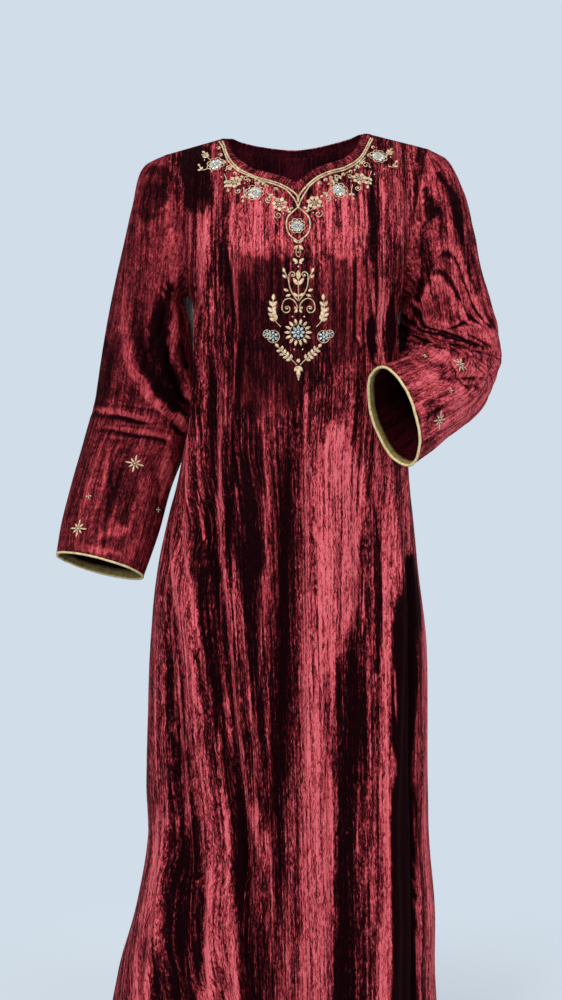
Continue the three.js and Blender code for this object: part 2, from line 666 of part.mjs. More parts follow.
const BAND_ROWS = 2;
const BAND_EXTRA = 0.6;        // the band is folded double and thicker than the velvet
const band = {
  rows: Array.from({ length: BAND_ROWS + 1 }, (unused, i) => neckSeam.map((p, k) => p.clone()
    .addScaledVector(awayFromNeck[k], (-BAND_WIDTH * i) / BAND_ROWS))),
  thickness: VELVET + BAND_EXTRA,
  closed: true,
  turned: true,
  ease: CREASE_EASE.band,
};
sharedNormals([...panelsAndSleeves, band]);

for (const cloth of [front, back]) {
  const lastRow = cloth.rows.length - 1;
  const lastColumn = cloth.rows[0].length - 1;
  const leftCorner = lastColumn - SIDE_COLUMNS;
  const topParts = [[0, SIDE_COLUMNS], [SIDE_COLUMNS, leftCorner], [leftCorner, lastColumn]];
  const seams = topParts.map(([from, to]) => (
    { edge: rowEdge(cloth, 0, from, to), inner: rowEdge(cloth, 1, from, to) }));
  for (const [j, inner] of [[0, 1], [lastColumn, lastColumn - 1]]) {
    for (const [from, to] of [[0, underarmRow], [underarmRow, lastRow]]) {
      seams.push({ edge: columnEdge(j, from, to), inner: columnEdge(inner, from, to) });
    }
  }
  drawBack(cloth, seams);
}
for (const cloth of [sleeves.right, sleeves.left, band]) {
  drawBack(cloth, [{ edge: rowEdge(cloth, 0), inner: rowEdge(cloth, 1), loop: true }]);
}

// ---------------------------------------------------------------- materials and scene graph

function material(color, roughness, metalness) {
  return new THREE.MeshStandardMaterial({ color, roughness, metalness });
}
const MATERIALS = {
  velvet: material(0x7a1420, 0.75, 0),
  binding: material(0xb99a4a, 0.45, 0.2),
  goldThread: material(0xc9a25a, 0.35, 0.8),
  stones: material(0xc6d6d6, 0.2, 0.3),
};

const jalabiya = new THREE.Group();

function addPiece(name, geometry, pieceMaterial) {
  const mesh = new THREE.Mesh(facingOut(geometry), pieceMaterial);
  mesh.name = name;
  jalabiya.add(mesh);
  return mesh;
}

const frontMesh = addPiece('front_panel', clothWall(front), MATERIALS.velvet);
addPiece('back_panel', clothWall(back), MATERIALS.velvet);
const sleeveMeshes = {
  right: addPiece('sleeve_right', clothWall(sleeves.right), MATERIALS.velvet),
  left: addPiece('sleeve_left', clothWall(sleeves.left), MATERIALS.velvet),
};
addPiece('neck_band', clothWall(band), MATERIALS.velvet);

for (const sideName of ['right', 'left']) {
  addPiece(`cuff_binding_${sideName}`, cuffBinding(sleeves[sideName], CUFF_PROFILE), MATERIALS.binding);
}

// ---------------------------------------------------------------- embroidery

// The outer face of a piece of cloth where a straight line from outside first meets it.
const finder = new THREE.Raycaster();
function onCloth(mesh, from, way) {
  finder.set(from, way.clone().normalize());
  const [hit] = finder.intersectObject(mesh);
  return { point: hit.point, normal: hit.face.normal.clone() };
}

const OUTSIDE = -400;          // farther forward than any cloth
const seenPlace = (mesh, x, z) => onCloth(mesh, vector(x, OUTSIDE, z), vector(0, 1, 0));
const frontPlace = ([x, z]) => seenPlace(frontMesh, x, z);

// Places round a middle on the cloth, measured square to the cloth there.
function tangentPlaces(mesh, x, z) {
  const { point, normal } = seenPlace(mesh, x, z);
  const across = vector(1, 0, 0).addScaledVector(normal, -normal.x).normalize();
  const up = normal.clone().cross(across).negate();
  if (up.z < 0) up.negate();
  const start = point.clone().addScaledVector(normal, 12);
  return ([a, b]) => onCloth(mesh, start.clone().addScaledVector(across, a).addScaledVector(up, b),
    normal.clone().negate());
}

// A tube on the cloth through places found on it, open or as a ring, tapered at its ends.
function stitchedCord(places, radius, sides, ring = false) {
  const lift = radius + RESTING_GAP;
  const centres = places.map(({ point, normal }) => point.clone().addScaledVector(normal, lift));
  const all = [];
  const triangles = [];
  const count = centres.length;
  centres.forEach((p, k) => {
    const before = centres[ring ? (k + count - 1) % count : Math.max(k - 1, 0)];
    const after = centres[ring ? (k + 1) % count : Math.min(k + 1, count - 1)];
    const ahead = after.clone().sub(before).normalize();
    const up = places[k].normal.clone().addScaledVector(ahead, -ahead.dot(places[k].normal)).normalize();
    const across = ahead.clone().cross(up);
    for (let s = 0; s < sides; s += 1) {
      const turn = (2 * Math.PI * (s + 0.5)) / sides;
      const rise = p.clone().addScaledVector(up, radius * Math.cos(turn));
      all.push(rise.addScaledVector(across, radius * Math.sin(turn)));
    }
  });
  for (let k = 0; k < (ring ? count : count - 1); k += 1) {
    const next = (k + 1) % count;
    for (let s = 0; s < sides; s += 1) {
      const t = (s + 1) % sides;
      triangles.push([k * sides + s, next * sides + s, next * sides + t],
        [k * sides + s, next * sides + t, k * sides + t]);
    }
  }
  if (!ring) {
    const end = (count - 1) * sides;
    for (let s = 1; s + 1 < sides; s += 1) {
      triangles.push([0, s, s + 1], [end, end + s + 1, end + s]);
    }
  }
  return facingOut(geometryFrom(all, triangles));
}

// Smooth line on the front through [x, z] stations, as places on the cloth.
function frontLine(stations, step = 5, ring = false) {
  const curve = new THREE.CatmullRomCurve3(stations.map(([x, z]) => vector(x, 0, z)), ring);
  const count = Math.max(3, Math.round(curve.getLength() / step));
  const points = curve.getSpacedPoints(count);
  if (ring) points.pop();
  return points.map((p) => frontPlace([p.x, p.z]));
}

// A domed relief on the cloth: rims round a middle, from under it over its edge to its
// top, each a share of the outline with its own share of the height.
const RELIEF_RIMS = [
  { share: 0.5, height: 0 }, { share: 1, height: 0 }, { share: 1, height: 0.3 }, { share: 0.62, height: 1 },
];
function relief(outline, height, place, gap = RESTING_GAP) {
  const middle = place([0, 0]);
  const lifted = ({ point, normal }, share) => point.clone().addScaledVector(normal, gap + height * share);
  const all = [lifted(middle, 0), lifted(middle, 0.8)];
  const count = outline.length;
  const levels = RELIEF_RIMS;
  for (const level of levels) {
    for (const [a, b] of outline) all.push(lifted(place([a * level.share, b * level.share]), level.height));
  }
  const at = (level, k) => 2 + level * count + (k % count);
  const triangles = [];
  for (let k = 0; k < count; k += 1) {
    triangles.push([0, at(0, k), at(0, k + 1)]);
    for (let level = 0; level + 1 < levels.length; level += 1) {
      triangles.push([at(level, k), at(level + 1, k), at(level + 1, k + 1)],
        [at(level, k), at(level + 1, k + 1), at(level, k + 1)]);
    }
    triangles.push([1, at(levels.length - 1, k + 1), at(levels.length - 1, k)]);
  }
  return facingOut(geometryFrom(all, triangles));
}

// Outline of a flower with round petals, as [across, up].
function petalOutline(petals, radius, notch, perPetal = 4, start = 0) {
  return Array.from({ length: petals * perPetal }, (unused, k) => {
    const turn = start + (2 * Math.PI * k) / (petals * perPetal);
    const wave = 0.5 - 0.5 * Math.cos(petals * (turn - start));
    const r = radius * (1 - notch + notch * Math.sqrt(wave));
    return [r * Math.sin(turn), r * Math.cos(turn)];
  });
}

// Outline of a leaf from its root at [0, 0] to its tip, leaning by an angle from upright.
function leafOutline(length, width, lean) {
  const half = [0, 0.62, 1, 0.8, 0];
  const side = (sign, order) => order.map((k) => [sign * half[k] * width / 2, (length * k) / 4 - length / 2]);
  const points = [...side(1, [0, 1, 2, 3, 4]), ...side(-1, [3, 2, 1])];
  const [c, s] = [Math.cos(lean), Math.sin(lean)];
  return points.map(([a, b]) => [a * c + b * s, b * c - a * s]);
}

const frontRelief = (x, z, outline, height) => relief(outline, height, tangentPlaces(frontMesh, x, z));
function frontLeaf(x, z, length, width, leanDegrees, height = 1.5) {
  return frontRelief(x, z, leafOutline(length, width, radians(leanDegrees)), height);
}

// Joins stitched pieces that overlap into one body.
function joined(geometries) {
  const solids = geometries.map((geometry) => {
    const bare = geometry.clone();
    bare.deleteAttribute('normal');
    const merged = mergeVertices(bare);
    return new wasm.Manifold(new wasm.Mesh({
      numProp: 3,
      vertProperties: new Float32Array(merged.attributes.position.array),
      triVerts: new Uint32Array(merged.index.array),
    }));
  });
  const whole = solids.slice(1).reduce((sum, solid) => sum.add(solid), solids[0]);
  const { vertProperties, triVerts } = whole.getMesh();
  const geometry = new THREE.BufferGeometry();
  geometry.setAttribute('position', new THREE.BufferAttribute(new Float32Array(vertProperties), 3));
  geometry.setIndex(new THREE.BufferAttribute(new Uint32Array(triVerts), 1));
  geometry.computeVertexNormals();
  return geometry;
}

// Two cords beside the neck seam, over the front from shoulder to shoulder.
const CORD_STEPS = 46;
function neckCord(distance) {
  const starts = frontNeck.map((unused, k) => neckSeam[k].clone()
    .addScaledVector(awayFromNeck[k], distance)
    .addScaledVector(neckNormals[k], 20));
  const curve = new THREE.CatmullRomCurve3(starts.slice(1, -1), false, 'centripetal');
  const normals = frontNeck.map((unused, k) => neckNormals[k]).slice(1, -1);
  const ways = new THREE.CatmullRomCurve3(normals);
  const places = Array.from({ length: CORD_STEPS + 1 }, (unused, k) => {
    const share = k / CORD_STEPS;
    return onCloth(frontMesh, curve.getPoint(share), ways.getPoint(share).negate());
  });
  return stitchedCord(places, CORD_RADIUS, 4);
}
addPiece('neck_cord_upper', neckCord(CORD_PLACES[0]), MATERIALS.goldThread);
addPiece('neck_cord_lower', neckCord(CORD_PLACES[1]), MATERIALS.goldThread);

// Flowers round the neck.
const SILVER_FLOWERS = [
  { name: 'silver_flower_right_shoulder', x: -125, z: -56, radius: 13 },
  { name: 'silver_flower_right_chest', x: -64, z: -108, radius: 14 },
  { name: 'silver_flower_left_chest', x: 62, z: -104, radius: 14 },
  { name: 'silver_flower_left_shoulder', x: 125, z: -42, radius: 13 },
];
for (const { name, x, z, radius } of SILVER_FLOWERS) {
  addPiece(name, frontRelief(x, z, petalOutline(8, radius, 0.35), 2.4), MATERIALS.stones);
}
const GOLD_FLOWERS = [
  { name: 'gold_rosette_right', x: -95, z: -88, radius: 10, petals: 6 },
  { name: 'gold_rosette_left', x: 94, z: -82, radius: 10, petals: 6 },
  { name: 'leaf_flower_right', x: -27, z: -128, radius: 9, petals: 5 },
  { name: 'leaf_flower_left', x: 21, z: -126, radius: 9, petals: 5 },
  { name: 'ring_flower', x: -2, z: -163, radius: 8, petals: 6 },
];
for (const { name, x, z, radius, petals } of GOLD_FLOWERS) {
  addPiece(name, frontRelief(x, z, petalOutline(petals, radius, 0.45), 2), MATERIALS.goldThread);
}

// The pointed ring below the V, and the chain that hangs from it.
const RING_STATIONS = [[-1, -137], [-17, -151], [-17, -168], [-1, -184], [16, -168], [15, -150]];
addPiece('pendant_ring', stitchedCord(frontLine(RING_STATIONS, 6, true), 1.1, 5, true), MATERIALS.goldThread);

// A V of two leaves at a height below the ring.
function leafPair(z, length, width, leftX, rightX) {
  return joined([frontLeaf(leftX, z, length, width, -34), frontLeaf(rightX, z, length, width, 34)]);
}
addPiece('chain_leaf_upper', leafPair(-196, 14, 6, -2.4, 3.4), MATERIALS.goldThread);
addPiece('chain_leaf_lower', leafPair(-217, 12, 5, -1.9, 2.9), MATERIALS.goldThread);

// The medallion: a fan of leaves on a stem, curls, a large flower between leaf branches
// and clusters, and arcs that meet at a hanging leaf. Stations are [out from the middle, z].
const MEDALLION_X = 0.5;
const STEM_RADIUS = 1.1;
const CURL_RADIUS = 1.0;
const CURLS = {
  upper_curl: [[7.5, -238], [13, -232], [17, -240], [14, -256], [4.5, -276]],
  heart_curl: [[3.2, -286], [12, -277], [24, -280], [26, -290], [19, -291]],
};
const SPRAYS = {
  leaf_branch: {
    stem: [[36, -272], [37, -290], [33, -304], [27, -312]],
    leaves: [
      { out: 37, z: -268, length: 13, width: 6, lean: 8 },
      { out: 40.8, z: -284, length: 12, width: 5, lean: 48 },
      { out: 39, z: -298, length: 12, width: 5, lean: 62 },
    ],
  },
  lower_arc: {
    stem: [[30, -344], [21, -353], [10, -361], [2.5, -370]],
    leaves: [
      { out: 26, z: -354.2, length: 12, width: 5, lean: 130 },
      { out: 14.6, z: -362.8, length: 12, width: 5, lean: 140 },
    ],
  },
};
const CLUSTER = { out: 37, z: -329, radius: 11, petals: 5 };

addPiece('fan_stem', joined([
  stitchedCord(frontLine([[MEDALLION_X, -236], [MEDALLION_X, -256], [MEDALLION_X, -276]]), STEM_RADIUS, 5),
  frontLeaf(MEDALLION_X, -240, 15, 6, 0),
  frontLeaf(MEDALLION_X - 3.9, -249, 14, 5, -42),
  frontLeaf(MEDALLION_X + 3.9, -249, 14, 5, 42),
]), MATERIALS.goldThread);

for (const [sideName, side] of [['right', -1], ['left', 1]]) {
  const across = (out) => MEDALLION_X + side * out;
  const line = (stations) => stitchedCord(frontLine(stations.map(([out, z]) => [across(out), z])),
    CURL_RADIUS, 5);
  for (const [name, stations] of Object.entries(CURLS)) {
    addPiece(`${name}_${sideName}`, line(stations), MATERIALS.goldThread);
  }
  for (const [name, { stem, leaves }] of Object.entries(SPRAYS)) {
    const parts = leaves.map(({ out, z, length, width, lean }) => (
      frontLeaf(across(out), z, length, width, side * lean)));
    addPiece(`${name}_${sideName}`, joined([line(stem), ...parts]), MATERIALS.goldThread);
  }
  const cluster = petalOutline(CLUSTER.petals, CLUSTER.radius, 0.3);
  addPiece(`stone_cluster_${sideName}`, frontRelief(across(CLUSTER.out), CLUSTER.z, cluster, 2.2),
    MATERIALS.stones);
}
addPiece('medallion_flower', frontRelief(MEDALLION_X, -323, petalOutline(8, 19, 0.4), 2.8), MATERIALS.stones);
addPiece('pendant_leaf', frontLeaf(MEDALLION_X, -382, 16, 7, 0), MATERIALS.goldThread);

// Eight-armed gold stars on the sleeves, near the cuffs.
const STAR = { arms: 8, radius: 13, height: 1.4 };
const STAR_GAP = 0.9;          // between the cloth and a star: a sleeve is more curved
const STARS = [
  { name: 'star_right_upper', side: 'right', x: -249, z: -513 },
  { name: 'star_right_lower', side: 'right', x: -332, z: -612 },
  { name: 'star_left_upper', side: 'left', x: 244, z: -366 },
  { name: 'star_left_lower', side: 'left', x: 207, z: -452 },
];
for (const { name, side, x, z } of STARS) {
  const outline = petalOutline(STAR.arms, STAR.radius, 0.7, 2);
  const place = tangentPlaces(sleeveMeshes[side], x, z);
  addPiece(name, relief(outline, STAR.height, place, STAR_GAP), MATERIALS.goldThread);
}

export default jalabiya;
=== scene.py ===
"""Looks for the velvet jalabiya: fine crushed-velvet shells, gold cords, embroidery and cuffs.

Lengths are in millimetres until a mesh is made. The wearer faces -Y, so the wearer's right
is -X. The cloths follow the same tables as the part's source.
"""

import math

import bpy
import numpy as np
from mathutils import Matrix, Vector
from mathutils.bvhtree import BVHTree


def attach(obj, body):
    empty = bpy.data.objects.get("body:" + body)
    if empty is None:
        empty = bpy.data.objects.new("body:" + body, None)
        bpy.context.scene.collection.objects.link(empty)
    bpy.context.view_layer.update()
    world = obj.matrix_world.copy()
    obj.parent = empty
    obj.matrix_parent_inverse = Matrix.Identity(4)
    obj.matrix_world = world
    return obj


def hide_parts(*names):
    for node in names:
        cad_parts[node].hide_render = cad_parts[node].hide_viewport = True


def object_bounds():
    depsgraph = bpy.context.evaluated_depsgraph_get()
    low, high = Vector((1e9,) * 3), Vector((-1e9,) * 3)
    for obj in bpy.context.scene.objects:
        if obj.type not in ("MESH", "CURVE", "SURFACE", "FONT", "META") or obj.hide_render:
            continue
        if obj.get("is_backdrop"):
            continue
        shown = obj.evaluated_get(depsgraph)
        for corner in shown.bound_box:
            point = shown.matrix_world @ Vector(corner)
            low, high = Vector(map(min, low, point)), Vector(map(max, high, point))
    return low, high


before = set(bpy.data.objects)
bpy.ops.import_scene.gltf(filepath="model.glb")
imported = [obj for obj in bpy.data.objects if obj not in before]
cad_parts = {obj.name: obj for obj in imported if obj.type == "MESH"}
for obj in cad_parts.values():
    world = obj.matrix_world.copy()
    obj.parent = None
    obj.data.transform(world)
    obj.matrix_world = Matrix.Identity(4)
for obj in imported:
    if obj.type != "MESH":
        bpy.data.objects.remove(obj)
cad_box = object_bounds()

MM = 0.001
VELVET = 1.6            # thickness of the velvet with its pile
BAND_WIDTH = 12         # neck band, from its seam to the neck opening
UNDERARM_Z = -252
HEM_Z = -1380
ROUNDNESS = 2.3         # superellipse exponent of the body's cross-sections
SHOULDER_ANGLE = 40     # body angle of the column that runs up to the neck corner
UNDERARM_FLARE = {"out": 8, "reach": 5}
FOLD_TAPER = 90         # length over which a fold dies away at its ends
SLEEVE_GIRTH = 400
SLEEVE_LENGTH = 620
SEAM_FADE = 14          # the crinkles die away this near to a seam

SIDE_COLUMNS = 42       # from a side seam to the neck corner, on both panels
NECK_COLUMNS = 96       # across the neck opening
YOKE_STEPS = 54
BODY_STEPS = 196
SLEEVE_COLUMNS = 150
ROWS_PER_STEP = 10      # rows of a sleeve for each step of its table

# The panels' grain: the yoke keeps the columns of the underarms, taken up over a height, and
# what slopes back over the chest counts as length for a share of its depth.
GRAIN = {"taken_up": 60, "slope_over": 120, "slope_share": 0.8, "front_y": -128, "back_y": 92,
         "middle": NECK_COLUMNS // 2 + SIDE_COLUMNS}


# ---------------------------------------------------------------- tables

def table(text):
    """Columns by name, from a line of headings and lines of numbers."""
    headings, *lines = text.strip().splitlines()
    values = np.array([[float(word) for word in line.split()] for line in lines])
    return dict(zip(headings.split(), values.T))


def folds(text):
    """Folds, each a line of its name, height, half width and the stations of its path."""
    found = []
    for line in text.strip().splitlines():
        name, height, half_width, *path = line.split()
        stations = np.array(path, float).reshape(-1, 2)
        found.append({"name": name, "height": float(height), "half_width": float(half_width),
                      "path": stations})
    return found


# Cross-sections of the body below the armholes, as distances from the middle.
BODY_SECTIONS = table("""
z      right  left  front  back
-252   160    157   125    92
-330   160    155   128    92
-430   165    163   124    88
-540   184    173   128    98
-660   211    184   135    115
-790   225    198   142    122
-1000  232    199   155    135
-1090  230    201   162    142
-1195  248    211   170    150
-1290  274    212   178    158
-1380  292    218   185    165
""")

ARMHOLES = {
    "right": table("""
down  z     in   front  back
0     -33   203  5      5
0.21  -80   192  -30    40
0.44  -130  179  -50    58
0.67  -180  170  -52    60
0.84  -222  166  -42    49
0.93  -243  167  -25    28
1     -252  168  0      0
"""),
    "left": table("""
down  z     in   front  back
0     -24   203  5      5
0.22  -75   191  -30    40
0.45  -128  178  -50    58
0.68  -179  168  -52    60
0.85  -222  163  -42    49
0.93  -243  164  -25    28
1     -252  165  0      0
"""),
}

NECK_SEAMS = {
    "front": table("""
share  x     y    z
0      -117  3    -9
0.12   -104  -22  -43
0.23   -85   -45  -66
0.34   -59   -63  -81
0.43   -29   -77  -92
0.5    0     -86  -104
0.57   27    -77  -84
0.66   46    -66  -73
0.77   73    -48  -61
0.88   96    -26  -40
1      114   3    -2
"""),
    "back": table("""
share  x     y   z
0      -117  3   -9
0.2    -88   32  -20
0.5    0     50  -28
0.8    86    32  -14
1      114   3   -2
"""),
}

SWELL = {"front": {"middle": 1.5, "shoulder": 2.5}, "back": {"middle": 1.9, "shoulder": 2.6}}

# Folds of the body: name, height, half width, then its path as pairs of the share of the
# half width (positive to the wearer's left) and z. The first ones are the solid's own.
FRONT_FOLDS = folds("""
right_bust          7    62  -0.52 -232
left_bust           7    62  0.52 -232
right_side_ridge    13   24  -0.78 -135  -0.9 -300  -0.9 -480  -0.71 -680  -0.6 -830  -0.4 -1150  -0.26 -1380
right_side_trough   -9   22  -0.78 -330  -0.74 -480  -0.58 -640  -0.48 -830  -0.32 -1100  -0.18 -1380
right_outer_ridge   12   26  -0.92 -600  -0.76 -716  -0.69 -800  -0.6 -960  -0.52 -1150  -0.42 -1380
right_outer_trough  -10  22  -0.86 -760  -0.79 -900  -0.72 -1100  -0.62 -1380
right_hem_ridge     12   30  -0.86 -1040  -0.8 -1200  -0.76 -1380
right_inner_ridge   8    20  -0.61 -569  -0.47 -649  -0.36 -752  -0.3 -900
middle_ridge        9    20  -0.2 -520  -0.18 -790  -0.235 -1034  -0.28 -1380
middle_trough       -10  20  -0.05 -470  -0.06 -800  -0.1 -1030  -0.12 -1380
bright_ridge        9    30  0.2 -420  0.2 -700  0.12 -1000  0.08 -1380
left_inner_trough   -9   24  0.5 -520  0.5 -760  0.4 -1034  0.34 -1380
left_ridge          12   22  0.8 -440  0.79 -676  0.72 -880  0.68 -1111  0.62 -1380
left_side_trough    -15  17  0.95 -500  0.93 -640  0.87 -798  0.86 -1111  0.8 -1380
left_bust_fold      -9   15  0.82 -236  0.8 -300  0.74 -360
""")
BACK_FOLDS = folds("""
back_right_ridge    12   26  -0.62 -300  -0.58 -700  -0.6 -1380
back_right_trough   -11  24  -0.36 -340  -0.33 -800  -0.38 -1380
back_middle_ridge   11   28  -0.08 -380  -0.04 -800  -0.1 -1380
back_middle_trough  -10  22  0.2 -430  0.22 -900  0.2 -1380
back_left_ridge     12   26  0.46 -330  0.48 -800  0.5 -1380
back_left_trough    -11  22  0.74 -470  0.74 -900  0.76 -1380
back_edge_trough    -9   22  -0.85 -640  -0.83 -1000  -0.83 -1380
""")

# Rings of the sleeves after the armhole: the middle (x, y, z), the way from it to the outer
# (elbow) side, and the half depth square to that. steps leads up to that ring.
SLEEVE_RINGS = {
    "right": table("""
steps  x       y     z     out_x  out_y  out_z  depth
1      -202.5  6     -152  -29.5  0      103    57
1      -210    16    -185  -40    0      80     58
1      -218    28    -233  -54    0      53     58
1      -227    40    -297  -66    0      32     58
2      -235    47    -371  -75    0      15     56
2      -241    47    -428  -78    0      12     54
2      -255    38    -483  -79    0      8      52
2      -274    10    -548  -77    0      3      49
2      -288    -16   -612  -75    0      5      45
1      -301    -36   -668  -66    0      17     42
"""),
    "left": table("""
steps  x       y     z     out_x  out_y  out_z  depth
1      200.5   4     -145  27.5   1      107    57
1      211     10    -168  41     1      89     58
1      217     18    -200  53     0      69     58
1      224     28    -245  64     -4     40     58
1      233     37    -290  75     -8     14     58
2      239     38    -337  80     6      -7     60
2      234     26    -374  71     12     -14    58
2      230     -27   -388  45     18     -45    52
2      206     -72   -408  21     9      -62    45
1      172     -112  -429  22     9      -67    42
2      140     -150  -447  23     9      -71    40
"""),
}

# Folds of the sleeves: the path is in pairs of the share of the length and the degrees
# round from the outer side by way of the front.
SLEEVE_FOLDS = {
    "right": folds("""
armhole_ridge    9    20  0.22 62  0.36 78  0.48 104  0.58 150
armhole_trough   -11  22  0.2 112  0.34 124  0.46 146
elbow_crease     -6   14  0.57 10  0.58 60  0.6 96
forearm_crease   -5   13  0.64 40  0.66 90  0.66 128
back_trough      -7   22  0.3 250  0.5 262  0.74 268
"""),
    "left": folds("""
elbow_crease         -8   14  0.53 30  0.53 80  0.55 120
inner_elbow_trough   -12  20  0.5 150  0.56 172  0.6 196
upper_trough         -9   18  0.2 128  0.36 132  0.48 140
forearm_ridge        5    18  0.6 60  0.76 76  0.96 84
back_trough          -7   22  0.24 262  0.4 258  0.52 250
"""),
}


# Sharp creases that only the fine shells have, in the form of the sleeves' folds.
SLEEVE_CREASES = {
    "right": folds("""
press_one       -1    5  0.53 16  0.54 60  0.54 110
press_two       -1    5  0.62 20  0.63 70  0.62 120
press_three     -1    5  0.68 30  0.69 80  0.68 126
arm_lean        -3.5  7  0.16 130  0.3 100  0.44 84
arm_lean_lip     3    7  0.18 142  0.32 114  0.46 98
forearm_line     2.5  6  0.7 70  0.84 82  0.98 88
back_lean       -2.5  8  0.2 230  0.36 270  0.5 300
back_press      -1.5  6  0.56 220  0.57 280  0.56 330
"""),
    "left": folds("""
fan_one         -5    7  0.46 20  0.49 80  0.5 130
fan_two         -5    6  0.57 10  0.56 70  0.55 130
fan_three       -4    6  0.6 16  0.63 60  0.64 110
fan_ridge        5    7  0.54 24  0.53 70  0.53 110
lean_one        -5    7  0.18 150  0.32 110  0.42 60
lean_ridge       5    7  0.24 156  0.36 114  0.46 64
lean_two        -4.5  6  0.3 160  0.4 124  0.5 96
lean_three       4    6  0.14 120  0.24 84  0.36 50
lean_four       -4.5  6  0.12 100  0.22 66  0.34 36
cross_one       -4    6  0.26 40  0.32 70  0.36 104
forearm_one     -4.5  6  0.66 50  0.74 84  0.84 112
forearm_ridge    4    6  0.7 44  0.78 78  0.88 104
forearm_two     -4    5  0.62 124  0.68 94  0.7 62
forearm_three   -3.5  5  0.76 60  0.8 88  0.8 120
back_one        -5    7  0.46 200  0.5 260  0.5 320
back_ridge       5    7  0.56 220  0.58 290  0.57 340
back_lean       -4    6  0.3 220  0.4 280  0.46 330
back_low        -4    6  0.62 210  0.7 260  0.74 310
"""),
}


# ---------------------------------------------------------------- small helpers

def read(rows, key, column, place):
    """Reads a table's column smoothly at places between its rows."""
    keys, values = rows[key], rows[column]
    if keys[0] > keys[-1]:
        keys, values = keys[::-1], values[::-1]
    slopes = np.empty_like(values)
    slopes[1:-1] = (values[2:] - values[:-2]) / (keys[2:] - keys[:-2])
    slopes[0] = (values[1] - values[0]) / (keys[1] - keys[0])
    slopes[-1] = (values[-1] - values[-2]) / (keys[-1] - keys[-2])
    at = np.clip(place, keys[0], keys[-1])
    i = np.clip(np.searchsorted(keys, at, side="right") - 1, 0, len(keys) - 2)
    width = keys[i + 1] - keys[i]
    t = (at - keys[i]) / width
    return ((2 * t**3 - 3 * t**2 + 1) * values[i] + (t**3 - 2 * t**2 + t) * width * slopes[i]
            + (3 * t**2 - 2 * t**3) * values[i + 1] + (t**3 - t**2) * width * slopes[i + 1])


def soft_power(value, power):
    """Signed power, for superellipse sections."""
    return np.sign(value) * np.abs(value) ** power


def lerp(a, b, share):
    return a + (b - a) * share


def unit(vectors):
    return vectors / np.maximum(np.linalg.norm(vectors, axis=-1, keepdims=True), 1e-9)


def smooth_step(x):
    x = np.clip(x, 0, 1)
    return x * x * (3 - 2 * x)


def heading(turn):
    """The way that leans by a turn from upright, as [across, up]."""
    return np.array([math.sin(turn), math.cos(turn)])


def both_sides():
    """The name of each side of the wearer, and which way it lies along X."""
    return ("right", -1), ("left", 1)


def beside_path(place, points):
    """How far places are from a path, how far along it they are, and the path's length."""
    nearest = np.full(place.shape[:-1], np.inf)
    run = np.zeros(place.shape[:-1])
    length = 0
    for a, b in zip(points, points[1:]):
        way = b - a
        t = np.clip(((place - a) @ way) / (way @ way), 0, 1)
        distance = np.linalg.norm(place - a - t[..., None] * way, axis=-1)
        run = np.where(distance < nearest, length + t * np.linalg.norm(way), run)
        nearest = np.minimum(nearest, distance)
        length += np.linalg.norm(way)
    return nearest, run, length


def fold_relief(fold_list, place):
    """Height that a list of folds gives places on the unrolled cloth."""
    height = np.zeros(place.shape[:-1])
    for fold in fold_list:
        points = fold["unrolled"]
        if len(points) == 1:
            nearest = np.linalg.norm(place - points[0], axis=-1)
            ends = 1
        else:
            nearest, run, length = beside_path(place, points)
            ends = np.minimum(1, 0.25 + run / FOLD_TAPER)
        inside = np.minimum(nearest / fold["half_width"], 1)
        height += fold["height"] * ends * (0.5 + 0.5 * np.cos(math.pi * inside))
    return height


LATTICE = 64


def noise(u, v, cell_u, cell_v, seed, wrap=LATTICE):
    """Smooth seeded noise from -1 to 1 whose cells have the given size. wrap is the number
    of cells after which it repeats across."""
    lattice = np.random.default_rng(seed).uniform(-1, 1, (LATTICE, LATTICE))
    a, b = u / cell_u, v / cell_v
    i, j = np.floor(a).astype(int), np.floor(b).astype(int)
    s, t = smooth_step(a - i), smooth_step(b - j)
    corner = lambda m, n: lattice[(i + m) % wrap, (j + n) % LATTICE]
    return lerp(lerp(corner(0, 0), corner(1, 0), s), lerp(corner(0, 1), corner(1, 1), s), t)


def layered_noise(across, along, layers, seed, wraps=None, ridged=False):
    """Sum of layers of noise, each of a cell's size across and along and its height. wraps
    says by a cell's size when it repeats; ridged makes sharp ridges between hollows."""
    total = 0
    for index, (cell_u, cell_v, height) in enumerate(layers):
        wrap = (wraps or {}).get(cell_u, LATTICE)
        value = noise(across, along, cell_u, cell_v, seed + index, wrap)
        total = total + height * (1 - 2 * np.abs(value) if ridged else value)
    return total


# ---------------------------------------------------------------- body surfaces

def across_to_angle(across):
    return np.arcsin(soft_power(across, ROUNDNESS / 2))


def half_width(angle, z):
    right = read(BODY_SECTIONS, "z", "right", z)
    left = read(BODY_SECTIONS, "z", "left", z)
    return np.where(angle < 0, right, left)


def unroll_body(angle, z, side):
    depth = read(BODY_SECTIONS, "z", side, z)
    girth = (math.pi / 2) * np.hypot(half_width(angle, z), depth) / math.sqrt(2)
    return np.stack(np.broadcast_arrays(angle / (math.pi / 2) * girth, z), -1)


def unrolled(fold_list, side):
    found = []
    for fold in fold_list:
        across, z = fold["path"].T
        found.append({**fold, "unrolled": unroll_body(across_to_angle(across), z, side)})
    return found


